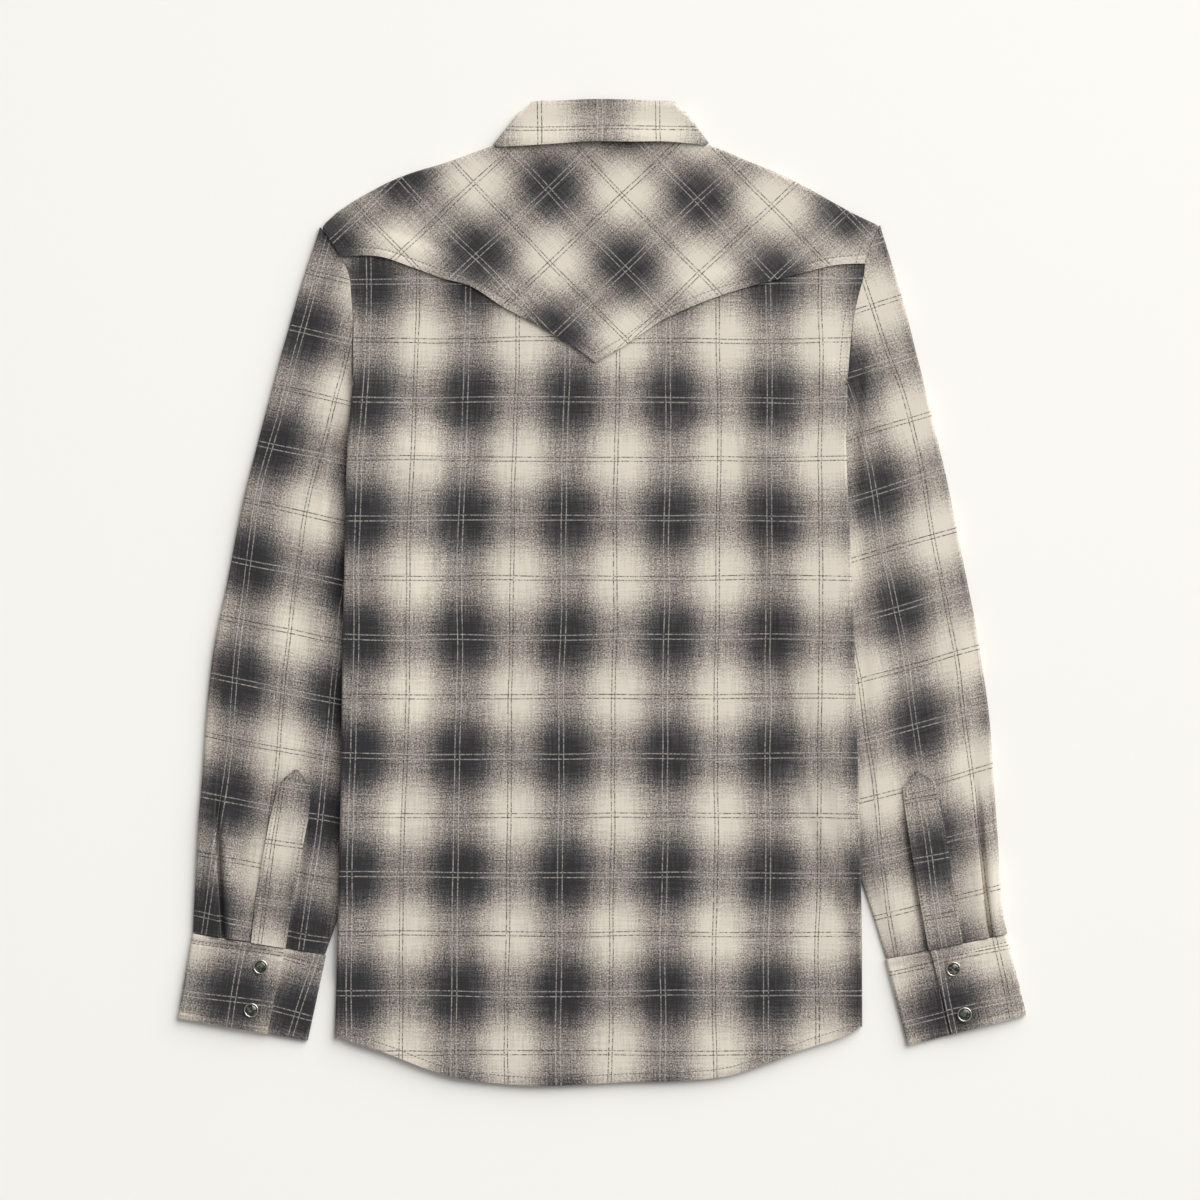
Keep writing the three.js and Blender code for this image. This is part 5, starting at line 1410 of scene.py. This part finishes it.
def pearl_resin():
    """Cast polyester resin with pearl powder: dark, glossy, with pale cloudy swirls."""
    material, tree = new_material("smoky_pearl_resin")
    where = add_node(tree, "ShaderNodeTexCoord")
    clouds = add_node(tree, "ShaderNodeTexNoise", {
        "Vector": where.outputs["Object"], "Scale": 260.0, "Detail": 3.0, "Distortion": 1.2,
    })
    shade = add_node(tree, "ShaderNodeValToRGB", {"Fac": clouds.outputs[0]})
    shade.color_ramp.elements[0].position = 0.50
    shade.color_ramp.elements[0].color = linear("#171a14")
    shade.color_ramp.elements[1].position = 0.78
    shade.color_ramp.elements[1].color = linear("#8f9180")
    finish_material(tree, add_node(tree, "ShaderNodeBsdfPrincipled", {
        "Base Color": shade.outputs[0], "Roughness": 0.12, "IOR": 1.56,
        "Coat Weight": 0.6, "Coat Roughness": 0.05,
    }))
    return material


def bright_nickel():
    """Nickel-plated brass, pressed and tumbled: bright, with fine random scuffs."""
    material, tree = new_material("bright_nickel_plate")
    where = add_node(tree, "ShaderNodeTexCoord")
    scuffs = add_node(tree, "ShaderNodeTexNoise", {
        "Vector": where.outputs["Object"], "Scale": 900.0, "Detail": 2.0,
    })
    roughness = add_node(tree, "ShaderNodeMapRange", {
        "Value": scuffs.outputs[0], "From Min": 0.3, "From Max": 0.7,
        "To Min": 0.18, "To Max": 0.34,
    })
    finish_material(tree, add_node(tree, "ShaderNodeBsdfPrincipled", {
        "Base Color": linear("#c9c5b9"), "Metallic": 1.0, "Roughness": roughness.outputs[0],
    }))
    return material


def turned_mesh(name, profile, place, closed):
    """A turned piece from its profile of distances across and heights in mm."""
    profile = np.array(profile, float)
    angles = np.arange(SNAP_SIDES) / SNAP_SIDES * 2 * math.pi
    rings = [np.column_stack([radius * np.cos(angles), radius * np.sin(angles),
                              np.full(SNAP_SIDES, z)]) for radius, z in profile]
    vertices = np.vstack(rings) + (*place, CUFF_TOP)
    faces = []
    count = len(profile)
    for ring in range(count if closed else count - 1):
        after = (ring + 1) % count
        for k in range(SNAP_SIDES):
            turn = (k + 1) % SNAP_SIDES
            faces.append((ring * SNAP_SIDES + k, ring * SNAP_SIDES + turn,
                          after * SNAP_SIDES + turn, after * SNAP_SIDES + k))
    if not closed:
        faces.append(tuple(range(SNAP_SIDES - 1, -1, -1)))
        faces.append(tuple((count - 1) * SNAP_SIDES + k for k in range(SNAP_SIDES)))
    mesh = bpy.data.meshes.new(name)
    mesh.from_pydata((vertices * MM).tolist(), [], faces)
    mesh.polygons.foreach_set("use_smooth", np.ones(len(mesh.polygons), bool))
    mesh.set_sharp_from_angle(angle=math.radians(40))
    made = bpy.data.objects.new(name, mesh)
    bpy.context.scene.collection.objects.link(made)
    return made


PEARL = pearl_resin()
NICKEL = bright_nickel()
dome = [(SNAP_CAP_RADIUS, -0.2), (SNAP_CAP_RADIUS, SNAP_HEIGHT * 0.42)]
dome += [(SNAP_CAP_RADIUS * math.cos(a), SNAP_HEIGHT * (0.42 + 0.58 * math.sin(a)))
         for a in np.radians([12, 25, 38, 51, 64, 76, 86])]
rim_inner = SNAP_CAP_RADIUS + 0.1
rim_middle = (rim_inner + SNAP_RADIUS) / 2
rim_half = (SNAP_RADIUS - rim_inner) / 2
rim = [(rim_inner, -0.2), (SNAP_RADIUS, -0.2)]
rim += [(rim_middle + rim_half * math.cos(a), SNAP_RIM_HEIGHT - rim_half + rim_half * math.sin(a))
        for a in np.radians([0, 30, 60, 90, 120, 150, 180])]
for name, snap_places in SNAP_PLACES.items():
    for number, place in enumerate(snap_places, 1):
        cap = turned_mesh(f"snap_cap_{name}_{number}_dome", dome, place, False)
        cap.data.materials.append(PEARL)
        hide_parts(f"snap_cap_{name}_{number}")
        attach(cap, "root")
        ring = turned_mesh(f"snap_rim_{name}_{number}_ring", rim, place, True)
        ring.data.materials.append(NICKEL)
        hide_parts(f"snap_rim_{name}_{number}")
        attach(ring, "root")
for node_name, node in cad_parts.items():
    if node_name.startswith("snap_front"):
        node.data.materials.clear()
        node.data.materials.append(PEARL)

# Sewing
# Spun cotton-polyester thread in a warm dark grey. Its lock stitches, about 3 mm apart, run
# along the yoke's edge, the armholes, the plackets, the cuffs and the hem.
STITCH_LENGTH = 2.3
STITCH_PITCH = 3.2
STITCH_WIDTH = 0.55


def sewing_thread():
    """Spun cotton and polyester: matt, two plies twisted, a little darker than the cloth."""
    material, tree = new_material("sewing_thread")
    where = add_node(tree, "ShaderNodeTexCoord")
    plies = add_node(tree, "ShaderNodeTexNoise", {
        "Vector": where.outputs["Object"], "Scale": 400.0, "Detail": 2.0,
    })
    shade = add_node(tree, "ShaderNodeMix", {
        "Factor": plies.outputs[0], 6: linear("#48423e"), 7: linear("#776f69"),
    }, data_type="RGBA")
    finish_material(tree, add_node(tree, "ShaderNodeBsdfPrincipled", {
        "Base Color": shade.outputs[2], "Roughness": 0.8, "Specular IOR Level": 0.25,
    }))
    return material


def stitch_tree(thread):
    """Sets one small stitch at each place along the seams, turned along them."""
    tree = bpy.data.node_groups.new("lock_stitches", "GeometryNodeTree")
    tree.interface.new_socket("Seams", in_out="INPUT", socket_type="NodeSocketGeometry")
    sizes = {}
    for label, value in (("Pitch", STITCH_PITCH), ("Length", STITCH_LENGTH),
                         ("Width", STITCH_WIDTH)):
        socket = tree.interface.new_socket(label, in_out="INPUT", socket_type="NodeSocketFloat")
        sizes[socket.identifier] = value * MM
    tree.interface.new_socket("Stitches", in_out="OUTPUT", socket_type="NodeSocketGeometry")
    given = add_node(tree, "NodeGroupInput")
    lines = add_node(tree, "GeometryNodeMeshToCurve", {"Mesh": given.outputs["Seams"]})
    spots = add_node(tree, "GeometryNodeCurveToPoints", {
        "Curve": lines.outputs[0], "Length": given.outputs["Pitch"],
    }, mode="LENGTH")
    bead = add_node(tree, "GeometryNodeMeshUVSphere", {"Segments": 6, "Rings": 4, "Radius": 0.5})
    size = add_node(tree, "ShaderNodeCombineXYZ", {
        "X": given.outputs["Width"], "Y": given.outputs["Width"], "Z": given.outputs["Length"],
    })
    shaped = add_node(tree, "GeometryNodeTransform", {
        "Geometry": bead.outputs[0], "Scale": size.outputs[0],
    })
    placed = add_node(tree, "GeometryNodeInstanceOnPoints", {
        "Points": spots.outputs["Points"], "Instance": shaped.outputs[0],
        "Rotation": spots.outputs["Rotation"],
    })
    real = add_node(tree, "GeometryNodeRealizeInstances", {"Geometry": placed.outputs[0]})
    named = add_node(tree, "GeometryNodeSetMaterial", {
        "Geometry": real.outputs[0], "Material": thread,
    })
    add_node(tree, "NodeGroupOutput", {"Stitches": named.outputs[0]})
    return tree, sizes


THREAD = sewing_thread()
seam_points = np.vstack(SEAM_LINES) * MM
seam_edges = []
first = 0
for line in SEAM_LINES:
    seam_edges += [(k, k + 1) for k in range(first, first + len(line) - 1)]
    first += len(line)
seam_mesh = bpy.data.meshes.new("seams")
seam_mesh.from_pydata(seam_points.tolist(), seam_edges, [])
seams = bpy.data.objects.new("seams", seam_mesh)
bpy.context.scene.collection.objects.link(seams)
stitcher, stitch_sizes = stitch_tree(THREAD)
modifier = seams.modifiers.new("lock_stitches", "NODES")
modifier.node_group = stitcher
for identifier, value in stitch_sizes.items():
    modifier[identifier] = value
evaluated = seams.evaluated_get(bpy.context.evaluated_depsgraph_get())
stitch_mesh = bpy.data.meshes.new_from_object(evaluated)
bpy.data.objects.remove(seams)
stitches = bpy.data.objects.new("topstitching", stitch_mesh)
bpy.context.scene.collection.objects.link(stitches)
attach(stitches, "root")
